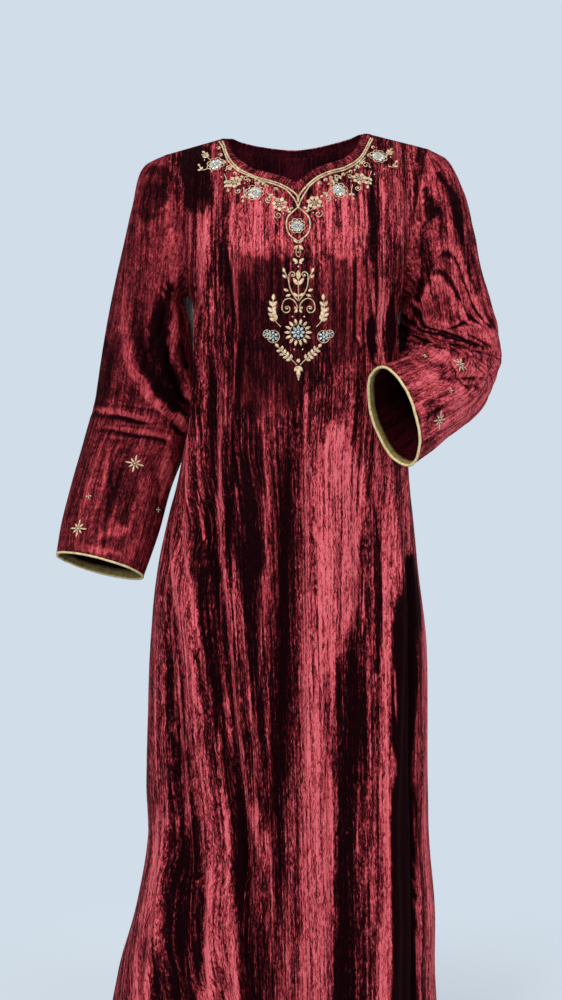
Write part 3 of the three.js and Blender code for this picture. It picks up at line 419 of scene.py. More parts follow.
def section(angle, z, side):
    """Points of the body's section at angles from the middle, and the ways out of it."""
    angle, z = np.broadcast_arrays(angle, z)
    half = half_width(angle, z)
    depth = read(BODY_SECTIONS, "z", side, z)
    facing = -1 if side == "front" else 1
    x = half * soft_power(np.sin(angle), 2 / ROUNDNESS)
    y = facing * depth * np.abs(np.cos(angle)) ** (2 / ROUNDNESS)
    out = np.stack([soft_power(x / half, ROUNDNESS - 1) / half,
                    soft_power(y / depth, ROUNDNESS - 1) / depth, np.zeros_like(x)], -1)
    flare = (UNDERARM_FLARE["out"] * np.abs(np.sin(angle)) ** 30
             * np.exp(-(UNDERARM_Z - z) / UNDERARM_FLARE["reach"]))
    return np.stack([x + np.sign(angle) * flare, y, z + 0.0 * x], -1), unit(out)


def armhole_point(angle, side, down):
    def pick(column):
        right = read(ARMHOLES["right"], "down", column, down)
        left = read(ARMHOLES["left"], "down", column, down)
        return np.where(angle < 0, right, left)
    sign = np.where(angle < 0, -1, 1)
    return np.stack(np.broadcast_arrays(sign * pick("in"), pick(side), pick("z")), -1)


def top_edge(angle, side):
    """Top edge of a panel: the neck seam, and a straight shoulder seam each side of it."""
    corner = math.radians(SHOULDER_ANGLE)
    share = np.clip((angle + corner) / (2 * corner), 0, 1)
    neck = np.stack([read(NECK_SEAMS[side], "share", column, share) for column in "xyz"], -1)
    tip = armhole_point(angle, "front", np.zeros_like(angle))
    out = np.clip((np.abs(angle) - corner) / (math.pi / 2 - corner), 0, 1)
    return lerp(neck, tip, out[..., None])


def yoke(angle, down, side, fold_list):
    """Between the top edge and the underarm level, at shares of the way down."""
    angle, down = np.broadcast_arrays(angle, down)
    weight = np.abs(np.sin(angle)) ** 8
    top = top_edge(angle, side)
    foot, _ = section(angle, np.full(angle.shape, float(UNDERARM_Z)), side)
    edge_angle = np.where(angle < 0, -math.pi / 2, math.pi / 2)
    foot_edge, _ = section(edge_angle, np.full(angle.shape, float(UNDERARM_Z)), side)
    tip = armhole_point(angle, side, np.zeros_like(down))
    point = lerp(top, foot, down[..., None])
    swell = lerp(SWELL[side]["middle"], SWELL[side]["shoulder"], np.abs(np.sin(angle)))
    point[..., 1] = lerp(top[..., 1], foot[..., 1], 1 - (1 - down) ** swell)
    straight = lerp(tip, foot_edge, down[..., None])
    straight[..., 1] = lerp(tip[..., 1], foot_edge[..., 1], 1 - (1 - down) ** SWELL[side]["shoulder"])
    point += (armhole_point(angle, side, down) - straight) * weight[..., None]
    relief = fold_relief(fold_list, unroll_body(angle, point[..., 2], side))
    point[..., 1] += (-1 if side == "front" else 1) * down * (1 - weight) * relief
    return point, down * (1 - weight) * relief


def body(angle, z, side, fold_list):
    point, out = section(angle, z, side)
    inside = 1 - np.abs(np.sin(angle)) ** 40
    relief = inside * fold_relief(fold_list, unroll_body(*np.broadcast_arrays(angle, z), side))
    return point + out * relief[..., None], relief


def panel_angles():
    corner = SHOULDER_ANGLE
    left = np.linspace(-90, -corner, SIDE_COLUMNS + 1)[:-1]
    middle = np.linspace(-corner, corner, NECK_COLUMNS + 1)
    return np.radians(np.concatenate([left, middle, -left[::-1]]))


def panel(side, fold_list):
    """Middle surface of a panel, as rows of points from its top edge down to the hem."""
    angle = panel_angles()[None, :]
    ready = unrolled(fold_list, side)
    down = np.linspace(0, 1, YOKE_STEPS + 1)[:, None]
    z = np.linspace(UNDERARM_Z, HEM_Z, BODY_STEPS + 1)[1:, None]
    upper, upper_relief = yoke(angle, down, side, ready)
    lower, lower_relief = body(angle, z, side, ready)
    return np.concatenate([upper, lower]), np.concatenate([upper_relief, lower_relief])


# ---------------------------------------------------------------- sleeve surfaces

def spline(knots, t):
    """Centripetal Catmull-Rom lines through knots[i][column], at shares t from 0 to 1."""
    last = len(knots) - 1
    padded = np.concatenate([[2 * knots[0] - knots[1]], knots, [2 * knots[-1] - knots[-2]]])
    place = t * last
    i = min(int(place), last - 1)
    w = place - i
    p0, p1, p2, p3 = padded[i:i + 4]
    gap = lambda a, b: np.maximum(np.linalg.norm(b - a, axis=-1, keepdims=True), 1e-6) ** 0.5
    d0, d1, d2 = gap(p0, p1), gap(p1, p2), gap(p2, p3)
    start = ((p1 - p0) / d0 - (p2 - p0) / (d0 + d1) + (p2 - p1) / d1) * d1
    end = ((p2 - p1) / d1 - (p3 - p1) / (d1 + d2) + (p3 - p2) / d2) * d1
    return (p1 + start * w + (-3 * p1 + 3 * p2 - 2 * start - end) * w**2
            + (2 * p1 - 2 * p2 + start + end) * w**3)


def even_loop(loop, count):
    """A closed loop's points evenly spaced round it, from its first point."""
    closed = np.concatenate([loop, loop[:1]])
    runs = np.concatenate([[0], np.cumsum(np.linalg.norm(np.diff(closed, axis=0), axis=1))])
    at = np.arange(count) * runs[-1] / count
    return np.stack([np.interp(at, runs, closed[:, k]) for k in range(3)], -1)


def sleeve(side_name, armhole):
    """Middle surface of a sleeve: closed rows of points from the armhole to the cuff."""
    rings = SLEEVE_RINGS[side_name]
    turn = 1 if side_name == "right" else -1
    share = np.arange(SLEEVE_COLUMNS) / SLEEVE_COLUMNS
    loop = even_loop(armhole, SLEEVE_COLUMNS)
    centres = np.stack([rings[c] for c in "xyz"], -1)
    outers = np.stack([rings[c] for c in ("out_x", "out_y", "out_z")], -1)
    middles = np.concatenate([[loop.mean(0)], centres])
    knots = [loop]
    for i, (centre, outer, depth) in enumerate(zip(centres, outers, rings["depth"])):
        ahead = middles[min(i + 2, len(centres))] - middles[i]
        front = turn * depth * unit(np.cross(outer, ahead))
        turned = 2 * math.pi * share[:, None]
        knots.append(centre + outer * np.cos(turned) + front * np.sin(turned))
    knots = np.array(knots)
    ready = [{**fold, "unrolled": np.stack([SLEEVE_GIRTH * fold["path"][:, 1] / 360,
                                            SLEEVE_LENGTH * fold["path"][:, 0]], -1)}
             for fold in SLEEVE_FOLDS[side_name] + SLEEVE_CREASES[side_name]]
    rows, reliefs, alongs = [loop], [np.zeros(SLEEVE_COLUMNS)], [0]
    total, done = rings["steps"].sum(), 0
    for i, steps in enumerate(rings["steps"]):
        count = int(steps) * ROWS_PER_STEP
        for k in range(1, count + 1):
            row = spline(knots, (i + k / count) / len(centres))
            along = (done + k / ROWS_PER_STEP) / total
            place = np.stack([SLEEVE_GIRTH * share, np.full(SLEEVE_COLUMNS, SLEEVE_LENGTH * along)], -1)
            relief = fold_relief(ready, place)
            rows.append(row + unit(row - row.mean(0)) * relief[:, None])
            reliefs.append(relief)
            alongs.append(along)
        done += steps
    return np.array(rows), np.array(reliefs), np.array(alongs)


# ---------------------------------------------------------------- cloth shells

def grid_normals(rows, closed, turned):
    if closed:
        across = np.roll(rows, -1, 1) - np.roll(rows, 1, 1)
    else:
        across = np.gradient(rows, axis=1)
    normals = unit(np.cross(np.gradient(rows, axis=0), across))
    return -normals if turned else normals


def walked(rows, axis):
    """Distance along a grid from its first row or column to each point."""
    steps = np.linalg.norm(np.diff(rows, axis=axis), axis=-1)
    start = np.zeros_like(np.take(steps, [0], axis))
    return np.concatenate([start, np.cumsum(steps, axis)], axis)


def new_object(name, points, faces, materials, face_materials=None, smooth=True):
    """A mesh in the scene. smooth is for all faces, or a list with one for each."""
    mesh = bpy.data.meshes.new(name)
    mesh.from_pydata((np.asarray(points) * MM).tolist(), [], faces)
    for material in materials:
        mesh.materials.append(material)
    if face_materials is not None:
        mesh.polygons.foreach_set("material_index", face_materials)
    mesh.polygons.foreach_set("use_smooth", np.broadcast_to(smooth, len(faces)).tolist())
    mesh.update()
    obj = bpy.data.objects.new(name, mesh)
    bpy.context.scene.collection.objects.link(obj)
    return obj


def shell(name, cloth, materials):
    """A closed thin wall round a cloth's middle surface: velvet outside, its back inside.
    It carries a UV map along the grain, in metres, the painted sheen and shade of the nap and folds, and how
    crushed it is."""
    rows, closed, turned = cloth["rows"], cloth["closed"], cloth["turned"]
    normals = grid_normals(rows, closed, turned)
    count, columns = rows.shape[:2]
    half = cloth.get("thickness", VELVET) / 2
    faces_of_wall = rows + half * normals, rows - half * normals
    points = np.concatenate([face.reshape(-1, 3) for face in faces_of_wall])
    across = columns if closed else columns - 1
    i, j = np.meshgrid(np.arange(count - 1), np.arange(across), indexing="ij")
    i, j = i.ravel(), j.ravel()
    k = (j + 1) % columns
    corner_rows = np.stack([i, i + 1, i + 1, i], 1)
    corner_columns = np.stack([j, j, j + 1, j + 1], 1)
    outer = corner_rows * columns + np.stack([j, j, k, k], 1)
    if turned:
        outer, corner_rows, corner_columns = (a[:, ::-1] for a in (outer, corner_rows, corner_columns))
    size = count * columns
    inner = outer[:, ::-1] + size
    top, left = np.arange(columns), np.arange(count) * columns
    edges = [(top, False), ((count - 1) * columns + top, True)]
    if not closed:
        edges += [(left + columns - 1, False), (left, True)]
    rims = []
    for edge, backwards in edges:
        a, b = edge[:-1], edge[1:]
        if closed:
            a, b = edge, np.roll(edge, -1)
        if backwards != turned:
            a, b = b, a
        rims.append(np.stack([a, b, b + size, a + size], 1))
    rims = np.concatenate(rims)
    faces = np.concatenate([outer, inner, rims])
    kinds = np.repeat([0, 1, 0], [len(outer), len(inner), len(rims)])
    obj = new_object(name, points, faces.tolist(), materials, kinds)

    grain = cloth["grain"]                 # (rows, columns + 1 if closed, 2)
    outer_uv = grain[corner_rows, corner_columns]
    if "cut" in cloth:                     # the map is cut along this column
        outer_uv[j >= cloth["cut"], :, 0] -= cloth["girth"]
    inner_uv = outer_uv[:, ::-1]
    flat = grain[:, :columns].reshape(-1, 2)
    rim_uv = flat[rims % size]
    uv = np.concatenate([outer_uv, inner_uv, rim_uv]).reshape(-1, 2) * MM
    obj.data.uv_layers.new(name="grain").data.foreach_set("uv", uv.ravel())
    for name in ("nap", "lively"):
        values = np.tile(np.broadcast_to(cloth[name], (count, columns)).ravel(), 2)
        obj.data.attributes.new(name, "FLOAT", "POINT").data.foreach_set("value", values)
    return obj


# ---------------------------------------------------------------- crinkles, and the painted sheen and shade of the nap and folds

# Layers of noise: a cell's size across and along, and its height. The crushed surface has long
# soft creases with finer ones between them, and cloth pushed together at an elbow is sharper.
CRINKLES = ((34, 380, 1.5), (17, 210, 1.2), (10, 120, 0.8))
CRUMPLES = ((34, 44, 3.4), (17, 24, 1.8))
RAGGED_PANEL = ((6, 110, 0.26), (20, 45, 0.18))
RAGGED_SLEEVE = ((17, 22, 0.3), (34, 9, 0.25))
# BACK_SPOTS paints broad random patches of sheen and shade on the back.
BACK_SPOTS = ((44, 460, 0.4),)

# What the painted sheen and shade of the nap take from the relief and the crinkles, each divided by its
# size, and from slopes:
# ridges are painted lighter and troughs darker, and slopes that face the wearer's right, towards the key
# light, are painted lit.
NAP_SHADE = {"relief": 64, "crinkles": 14, "lit_side_tilt": 0.6, "steepest": 0.8}
# Limits of the painted highlight (bright) and the painted shade (dark).
NAP_SHADE_LIMITS = {"bright": 0.56, "dark": 0.85}    # fine lines still show at the strongest nap
STRIP_EDGE = {"start": 0.75, "soft": 0.35}     # as shares of a strip's half width
STRIP_TIP = {"length": 70, "share": 2.5, "drawn_in": 0.6}    # a long strip ends in a point


def strips(rows, text, ragged):
    """Strips seen from the front, summed by strength: bright ones are painted sheen and dark ones painted
    shade, and the same strips also mark where the velvet is calm.
    Each has its strength in hundredths, half width and path of x and z; ragged pushes their edges about."""
    place = rows[..., [0, 2]]
    total = np.zeros(rows.shape[:2])
    for strip in folds(text):
        nearest, run, length = beside_path(place, strip["path"])
        reach = nearest / strip["half_width"] + ragged
        if length > 4 * strip["half_width"]:
            tip = min(STRIP_TIP["length"], length / STRIP_TIP["share"])
            reach += STRIP_TIP["drawn_in"] * (1 - smooth_step(np.minimum(run, length - run) / tip))
        edge = smooth_step((reach - STRIP_EDGE["start"]) / STRIP_EDGE["soft"])
        total += strip["height"] / 100 * (1 - edge)
    return total


def slope_across(height, rows, closed):
    """How steeply a height rises from column to column."""
    if closed:
        rise = np.roll(height, -1, 1) - np.roll(height, 1, 1)
        run = np.linalg.norm(np.roll(rows, -1, 1) - np.roll(rows, 1, 1), axis=-1)
    else:
        rise = np.gradient(height, axis=1)
        run = np.linalg.norm(np.gradient(rows, axis=1), axis=-1)
    return rise / np.maximum(run, 1)


def finish_cloth(cloth, relief, fade, bumps, extra_sheen_and_shade, facing=1):
    """Adds crinkles to a cloth, and the painted sheen and shade of its colour that they, its folds and its
    strips give it.
    Ridges are painted lighter and troughs darker; the sides of folds that face the wearer's right, towards
    the key light, are the bright ones."""
    height = relief + fade * bumps
    lit_side_tilt = facing * slope_across(height, cloth["rows"], cloth["closed"])
    normals = grid_normals(cloth["rows"], cloth["closed"], cloth["turned"])
    cloth["rows"] = cloth["rows"] + normals * (fade * bumps)[..., None]
    slopes = NAP_SHADE["lit_side_tilt"] * np.clip(lit_side_tilt, -NAP_SHADE["steepest"], NAP_SHADE["steepest"])
    # Painted shade and highlight: relief and crinkles darken hollows and lighten ridges, and the tilt
    # lightens slopes that face the key light.
    nap = relief / NAP_SHADE["relief"] + fade * bumps / NAP_SHADE["crinkles"] + slopes + extra_sheen_and_shade
    limit = np.where(nap > 0, NAP_SHADE_LIMITS["bright"], NAP_SHADE_LIMITS["dark"])
    cloth["nap"] = limit * np.tanh(nap / limit)


# Narrow creases of the front that only its fine shell has, in the form of its folds.
FRONT_CREASES = folds("""
middle_crease     -3.5  5  0.04 -400  0.045 -640  0.03 -1000  0.01 -1380
middle_lip         2.5  7  0.085 -430  0.09 -640  0.07 -1000  0.05 -1380
left_slot         -4    6  0.24 -700  0.235 -820  0.22 -1000  0.2 -1380
left_slot_lip      2.5  7  0.3 -640  0.29 -900  0.27 -1380
left_lean         -3    8  0.62 -520  0.68 -640  0.66 -760
left_lean_lip      3    7  0.55 -500  0.6 -640  0.58 -800
left_narrow        3    6  0.7 -440  0.72 -600  0.66 -900  0.6 -1380
right_lean_ridge   3    7  -0.66 -460  -0.5 -660  -0.38 -860  -0.28 -1100
right_lean_trough  -3   7  -0.6 -470  -0.44 -670  -0.32 -880  -0.24 -1100
right_long_ridge   3.5  7  -0.55 -300  -0.56 -520  -0.5 -760  -0.36 -1100  -0.28 -1380
right_long_trough  -3   7  -0.5 -320  -0.5 -560  -0.43 -800  -0.3 -1120
right_edge_ridge   3    8  -0.86 -640  -0.8 -900  -0.78 -1380
right_flare_ridge  3.5  9  -0.7 -940  -0.62 -1140  -0.52 -1380
right_flare_trough -3.5 8  -0.64 -960  -0.56 -1160  -0.46 -1380
right_hem_crease   -3   7  -0.36 -900  -0.3 -1150  -0.22 -1380
under_ridge        2.5  6  -0.22 -420  -0.2 -660  -0.25 -900
chest_v_right      -4   7  -0.66 -150  -0.62 -230  -0.56 -330
chest_v_lip        3    7  -0.76 -120  -0.72 -210  -0.66 -330
chest_fold_left    -4   7  0.5 -130  0.54 -210  0.56 -330
chest_lip_left     3    7  0.6 -110  0.62 -210  0.66 -300
arm_press_left     -4   9  0.86 -260  0.84 -330  0.8 -380
chest_line_one     -1.5 4  -0.3 -206  -0.1 -210  0.12 -212
chest_line_two     -1.5 4  0.2 -200  0.4 -203  0.55 -198
hip_line           -1.5 5  -0.4 -1120  -0.28 -1085  -0.2 -1060
knee_line          -1.5 5  -0.2 -1185  0 -1180
shin_line          -1.5 5  0.24 -1190  0.5 -1172
""")
BACK_CREASES = folds("""
middle_crease      -3.5  6  0.02 -330  0.03 -700  0.02 -1380
middle_lip         3     8  0.09 -340  0.1 -720  0.08 -1380
right_ridge        3     7  -0.3 -300  -0.26 -700  -0.24 -1380
right_trough       -3    7  -0.22 -320  -0.2 -740  -0.18 -1380
left_ridge         3     7  0.34 -420  0.32 -800  0.34 -1380
left_trough        -3.5  8  0.62 -300  0.6 -760  0.63 -1380
right_edge_ridge   3     8  -0.74 -560  -0.72 -900  -0.74 -1380
shoulder_fold_r    3     10  -0.6 -90  -0.66 -200  -0.74 -330
shoulder_fold_l    3     10  0.6 -90  0.66 -200  0.74 -330
""")

# The front's strips of painted light and shade: bright ones are painted sheen on ridges and the chest, dark
# ones painted shade in troughs, in the slots between sleeve and body and under the bust.
FRONT_STRIPS = """
chest_right        54   26   -58 -124   -58 -188
chest_right_out    46   14   -92 -130   -92 -196
chest_left         60   30   60 -126    62 -186
chest_left_out     50   14   94 -112    98 -190
chest_middle       36   14   -22 -180   -20 -200
chest_middle_left  30   10   24 -170    26 -198
shoulder_right     40   14   -146 -120  -138 -200   -140 -290
shoulder_strip     44   10   -126 -230  -140 -330   -138 -430
shoulder_dark      -70  24   -160 -40   -150 -112
shoulder_dark_two  -50  10   -114 -190  -106 -262
shoulder_left      40   18   136 -60    158 -180
arm_dark_left      -52  9    112 -96    112 -240
slot_left          -120 12   142 -262   139 -358
slot_left_inner    -110 9    110 -290   110 -358
slot_lip           52   8    125 -240   126 -370
under_chest        -20  66   -24 -262   -20 -360
under_chest_right  -18  44   -74 -250   -64 -430
under_chest_left   -10  28   68 -236    66 -340
right_black        -60  12   -160 -350  -158 -470
left_ridge_long    50   5    -156 -400  -150 -500   -143 -590   -124 -740   -108 -880
left_ridge_two     50   5    -168 -640  -144 -780   -114 -940   -98 -1080
left_ridge_three   40   4    -116 -500  -116 -700
left_ridge_four    30   4    -98 -520   -72 -660
left_ridge_five    36   4    -176 -420  -170 -560
waist_dark         -46  38   -84 -440   -72 -700
middle_dark        -46  28   -64 -620   -48 -820    -44 -1040
bright_panel       92   42   54 -470    52 -640     46 -790
bright_strip       84   21   30 -700    29 -1000    26 -1200    24 -1480
panel_right_edge   30   14   84 -620    88 -800
middle_band        -28  16   -14 -540   -12 -900    -14 -1480
middle_ridge_line  48   8    -42 -640   -38 -800    -40 -1040   -44 -1240   -46 -1480
right_of_strip     -46  24   74 -800    76 -1060    72 -1480
dark_lean          -54  11   98 -580    110 -720    116 -820
ridge_by_trough    66   8    140 -480   134 -660    128 -860    126 -1100  122 -1480
deep_trough        -130 21   170 -660   160 -860    156 -1060   154 -1480
edge_ridge         58   9    197 -680   196 -900    196 -1100   208 -1480
left_flare         40   12   -196 -1000  -216 -1180  -250 -1480
left_flare_dark    -46  20   -150 -1040  -158 -1200  -180 -1480
left_middle_dark   -36  26   -130 -640   -120 -900
lower_line_one     44   7    -106 -1000  -92 -1200   -78 -1480
lower_dark         -50  26   -74 -1040   -64 -1200   -56 -1480
hem_ridge_left     40   10   -130 -1080  -122 -1240  -110 -1480
"""

# Where the front's velvet is less crushed, in the form of its strips.
FRONT_CALM = """
chest_right    52  48   -66 -244   -62 -330   -54 -400
chest_middle   46  34   2 -244    2 -400
chest_left     46  40   66 -240   64 -330
waist          24  44   -50 -440   -40 -760
trough         50  26   170 -690   158 -1060   154 -1480
shoulder       26  40   -150 -60   -140 -130
"""

front_rows, front_relief = panel("front", FRONT_FOLDS + FRONT_CREASES)
back_rows, back_relief = panel("back", BACK_FOLDS + BACK_CREASES)
front = {"rows": front_rows, "closed": False, "turned": False}
back = {"rows": back_rows, "closed": False, "turned": True}


def armhole_loop(side_name):
    """The armhole from the shoulder tip down the front and up the back."""
    column = 0 if side_name == "right" else -1
    return np.concatenate([front_rows[:YOKE_STEPS + 1, column], back_rows[1:YOKE_STEPS, column][::-1]])


sleeves = {}
for side_name in ("right", "left"):
    rows, relief, alongs = sleeve(side_name, armhole_loop(side_name))
    sleeves[side_name] = {"rows": rows, "closed": True, "turned": side_name == "left",
                          "relief": relief, "alongs": alongs}

CALMEST = 0.6       # how much of the crushed look the calm places lose at most
GRAIN_LEAN = {"side": -110, "reach": 110, "from": 450, "lean": 0.08}  # the right of the skirt's grain

for cloth, side, relief, seed in ((front, "front", front_relief, 11), (back, "back", back_relief, 41)):
    rows = cloth["rows"]
    over = walked(rows, 1)
    x, y, z = np.moveaxis(rows, -1, 0)
    from_side = np.minimum(over, over[:, -1:] - over)
    from_top = walked(rows, 0)
    # The grain hangs straight: above the underarms it keeps the columns of that level.
    level_x, level_over = x[YOKE_STEPS], over[YOKE_STEPS] - over[YOKE_STEPS, GRAIN["middle"]]
    hung = np.interp(x, level_x, level_over) + (x - np.clip(x, level_x[0], level_x[-1]))
    above = smooth_step((z - UNDERARM_Z) / GRAIN["taken_up"] + 1)
    across = lerp(over - over[:, [GRAIN["middle"]]], hung, above)
    facing = -1 if side == "front" else 1
    rise = facing * (GRAIN[f"{side}_y"] - y) * smooth_step((z - UNDERARM_Z) / GRAIN["slope_over"])
    from_hem = z - HEM_Z + GRAIN["slope_share"] * rise
    lean = GRAIN_LEAN["lean"] * np.exp(-((across - GRAIN_LEAN["side"]) / GRAIN_LEAN["reach"]) ** 2)
    across = across - lean * np.maximum(0, from_top - GRAIN_LEAN["from"])
    cloth["grain"] = np.stack([across, from_hem], -1)
    fade = smooth_step(np.minimum(from_side, from_top) / SEAM_FADE)
    bumps = layered_noise(across, from_top, CRINKLES, seed)
    if side == "front":
        ragged = layered_noise(across, from_top, RAGGED_PANEL, seed + 7)
        spots = strips(rows, FRONT_STRIPS, ragged)
        cloth["lively"] = 1 - np.minimum(strips(rows, FRONT_CALM, ragged), CALMEST)
    else:
        spots = layered_noise(across, from_top, BACK_SPOTS, 77)
        cloth["lively"] = 0.9
    finish_cloth(cloth, relief, fade, bumps, spots)

AROUND = 408        # a sleeve's girth that whole cells of noise, of 34 or 17, fill
SLEEVE_WRAPS = {34: 12, 17: 24}
SLEEVE_CRINKLES = 0.8    # how high a sleeve's crinkles are against the panels'
ELBOWS = {"right": {"along": 0.56, "reach": 0.1, "size": 0.2},
          "left": {"along": 0.54, "reach": 0.26, "size": 1.2}}
# The sleeves' level of painted sheen and shade, how crushed they are, and how much slopes along the arm turn
# it:
# slopes facing down the arm get painted shade, those facing up painted light.
SLEEVE_TONES = {"right": {"nap": 0.05, "lively": 0.6, "turn": 0.9},
                "left": {"nap": 0.22, "lively": 0.9, "turn": 1.9}}
# The upper arm's own rows, from which its axis comes, and the rows between which the grain
# goes over from that axis to the sleeve's columns.
ARM_ROWS = {"top": 40, "middle": 50, "bottom": 80, "start": 35, "end": 60}

# Strips of painted light and shade on the sleeves' front halves: bright ones painted sheen, dark ones
# painted shade at the armpit, the inner elbow and the upper arm's outer edge.
SLEEVE_STRIPS = {
    "right": """
cap_dark           -30  20   -206 -70    -222 -130
front_bright       30   7    -196 -118   -188 -210   -190 -300
front_black        -60  15   -196 -240   -216 -320   -208 -400   -186 -462
front_black_low    -50  12   -182 -320   -190 -430
elbow_patch        40   7    -300 -432   -282 -436
inner_patch        36   9    -204 -486   -200 -530   -212 -570
outer_dark         -20  22   -290 -330   -300 -400
low_patch          36   9    -296 -622   -252 -612
hem_ridge          38   7    -334 -640   -254 -652
middle_dark        -16  20   -262 -500   -262 -600
""",
    "left": """
cap_bright         26   14   178 -66     204 -96
cap_edge_dark      -70  8    216 -70     240 -112    252 -176
cap_black          -70  9    196 -96     206 -128    196 -150
arm_black          -60  9    190 -150    196 -210    188 -262
inner_black        -90  12   160 -286    164 -330
outer_bright       40   10   232 -150    246 -230    262 -290
outer_dark         -30  14   258 -180    280 -260
elbow_bright       42   11   276 -306    298 -340
elbow_dark         -50  7    240 -318    272 -322    300 -330
forearm_bright     52   20   190 -400    240 -420
forearm_lower      40   14   236 -444    214 -476
forearm_dark       -40  9    262 -346    230 -392    196 -450
under_bright       50   8    296 -376    250 -440    204 -496
crease_dark        -45  7    206 -340    250 -336
top_patch          38   9    204 -352    232 -362
""",
}


def arm_map(rows, turn):
    """Around and along the upper arm for each point, in its girth and in millimetres."""
    start = rows[ARM_ROWS["top"]].mean(0)
    ahead = unit(rows[ARM_ROWS["bottom"]].mean(0) - start)
    middle = rows[ARM_ROWS["middle"]]
    outer = middle[0] - middle.mean(0)
    outer = unit(outer - ahead * (outer @ ahead))
    front = turn * np.cross(outer, ahead)
    reach = rows - start
    return np.arctan2(reach @ front, reach @ outer) / (2 * math.pi), reach @ ahead


for side_name, seed in (("right", 71), ("left", 83)):
    cloth = sleeves[side_name]
    rows = cloth["rows"]
    share = np.arange(SLEEVE_COLUMNS + 1) / SLEEVE_COLUMNS
    along = np.tile(walked(rows, 0).mean(1)[:, None], (1, SLEEVE_COLUMNS + 1))
    around = np.tile(share[None, :], (len(rows), 1))
    # At the cap the grain runs with the arm, not out of the armhole.
    closed_rows = np.concatenate([rows, rows[:, :1]], axis=1)
    arm_around, arm_along = arm_map(closed_rows, 1 if side_name == "right" else -1)
    arm_around += np.round(around - arm_around)
    arm_along += along[ARM_ROWS["end"]].mean() - arm_along[ARM_ROWS["end"]].mean()
    row = np.arange(len(rows))[:, None]
    blend = smooth_step((row - ARM_ROWS["start"]) / (ARM_ROWS["end"] - ARM_ROWS["start"]))
    around, along_grain = lerp(arm_around, around, blend), lerp(arm_along, along, blend)
    cloth["grain"] = np.stack([around * SLEEVE_GIRTH, along_grain], -1)
    cloth["cut"], cloth["girth"] = SLEEVE_COLUMNS // 2, SLEEVE_GIRTH
    u, v = share[None, :-1] * AROUND, along[:, :-1]
    fade = smooth_step(v / SEAM_FADE)
    elbow = ELBOWS[side_name]
    near_elbow = np.exp(-(((cloth["alongs"] - elbow["along"]) / elbow["reach"]) ** 2))[:, None]
    crumpled = layered_noise(u, v, CRUMPLES, seed + 20, SLEEVE_WRAPS, ridged=True)
    pushed = elbow["size"] * near_elbow * crumpled
    bumps = SLEEVE_CRINKLES * layered_noise(u, v, CRINKLES, seed, SLEEVE_WRAPS) + pushed
    # Painted shade from slopes along the arm, from the folds and the crumpled elbow.
    shading_slope = np.gradient(pushed + cloth["relief"], axis=0) / np.maximum(np.gradient(v, axis=0), 1)
    ragged = layered_noise(u, v, RAGGED_SLEEVE, seed + 5, SLEEVE_WRAPS)
    spots = strips(rows, SLEEVE_STRIPS[side_name], ragged)
    front_half = np.where(share[:-1] < 0.5, 1, 0)[None, :]
    tone = SLEEVE_TONES[side_name]
    cloth["lively"] = tone["lively"]
    extra_sheen_and_shade = tone["nap"] - tone["turn"] * shading_slope + front_half * spots
    finish_cloth(cloth, cloth["relief"], fade, bumps, extra_sheen_and_shade, -1 if cloth["turned"] else 1)


# ---------------------------------------------------------------- materials

def srgb(red, green, blue):
    """Linear colour with alpha from 8-bit sRGB values."""
    shares = [value / 255 for value in (red, green, blue)]
    return (*[c / 12.92 if c <= 0.04 else ((c + 0.055) / 1.055) ** 2.4 for c in shares], 1)


class Shader:
    """A node material being wired up."""

    def __init__(self, name):
        self.material = bpy.data.materials.new(name)
        self.material.use_nodes = True
        self.tree = self.material.node_tree
        self.bsdf = self.tree.nodes["Principled BSDF"]

    def node(self, kind, inputs=None, **settings):
        node = self.tree.nodes.new(kind)
        for key, value in settings.items():
            setattr(node, key, value)
        for key, value in (inputs or {}).items():
            self.feed(node.inputs[key], value)
        return node

    def feed(self, socket, value):
        if isinstance(value, bpy.types.NodeSocket):
            self.tree.links.new(value, socket)
        else:
            socket.default_value = value

    def math(self, operation, a, b=0.0, c=0.0):
        return self.node("ShaderNodeMath", {0: a, 1: b, 2: c}, operation=operation).outputs[0]

    def stretched(self, vector, scale, detail, distortion=0.0, roughness=0.5):
        placed = self.node("ShaderNodeMapping", {"Vector": vector, "Scale": scale}).outputs[0]
        return self.node("ShaderNodeTexNoise", {"Vector": placed, "Scale": 1.0, "Detail": detail,
                                                "Roughness": roughness, "Distortion": distortion}).outputs[0]

    def ramp(self, factor, stops):
        node = self.node("ShaderNodeValToRGB", {0: factor})
        elements = node.color_ramp.elements
        while len(elements) < len(stops):
            elements.new(0.5)
        for element, (place, colour) in zip(elements, stops):
            element.position = place
            element.color = colour
        return node.outputs[0]

    def bump(self, height, distance, strength=1.0):
        node = self.node("ShaderNodeBump", {"Height": height, "Distance": distance, "Strength": strength})
        self.tree.links.new(node.outputs[0], self.bsdf.inputs["Normal"])

    def surface(self, **inputs):
        """Sets or feeds what the surface is made of, with _ in a name for a space."""
        for name, value in inputs.items():
            self.feed(self.bsdf.inputs[name.replace("_", " ")], value)


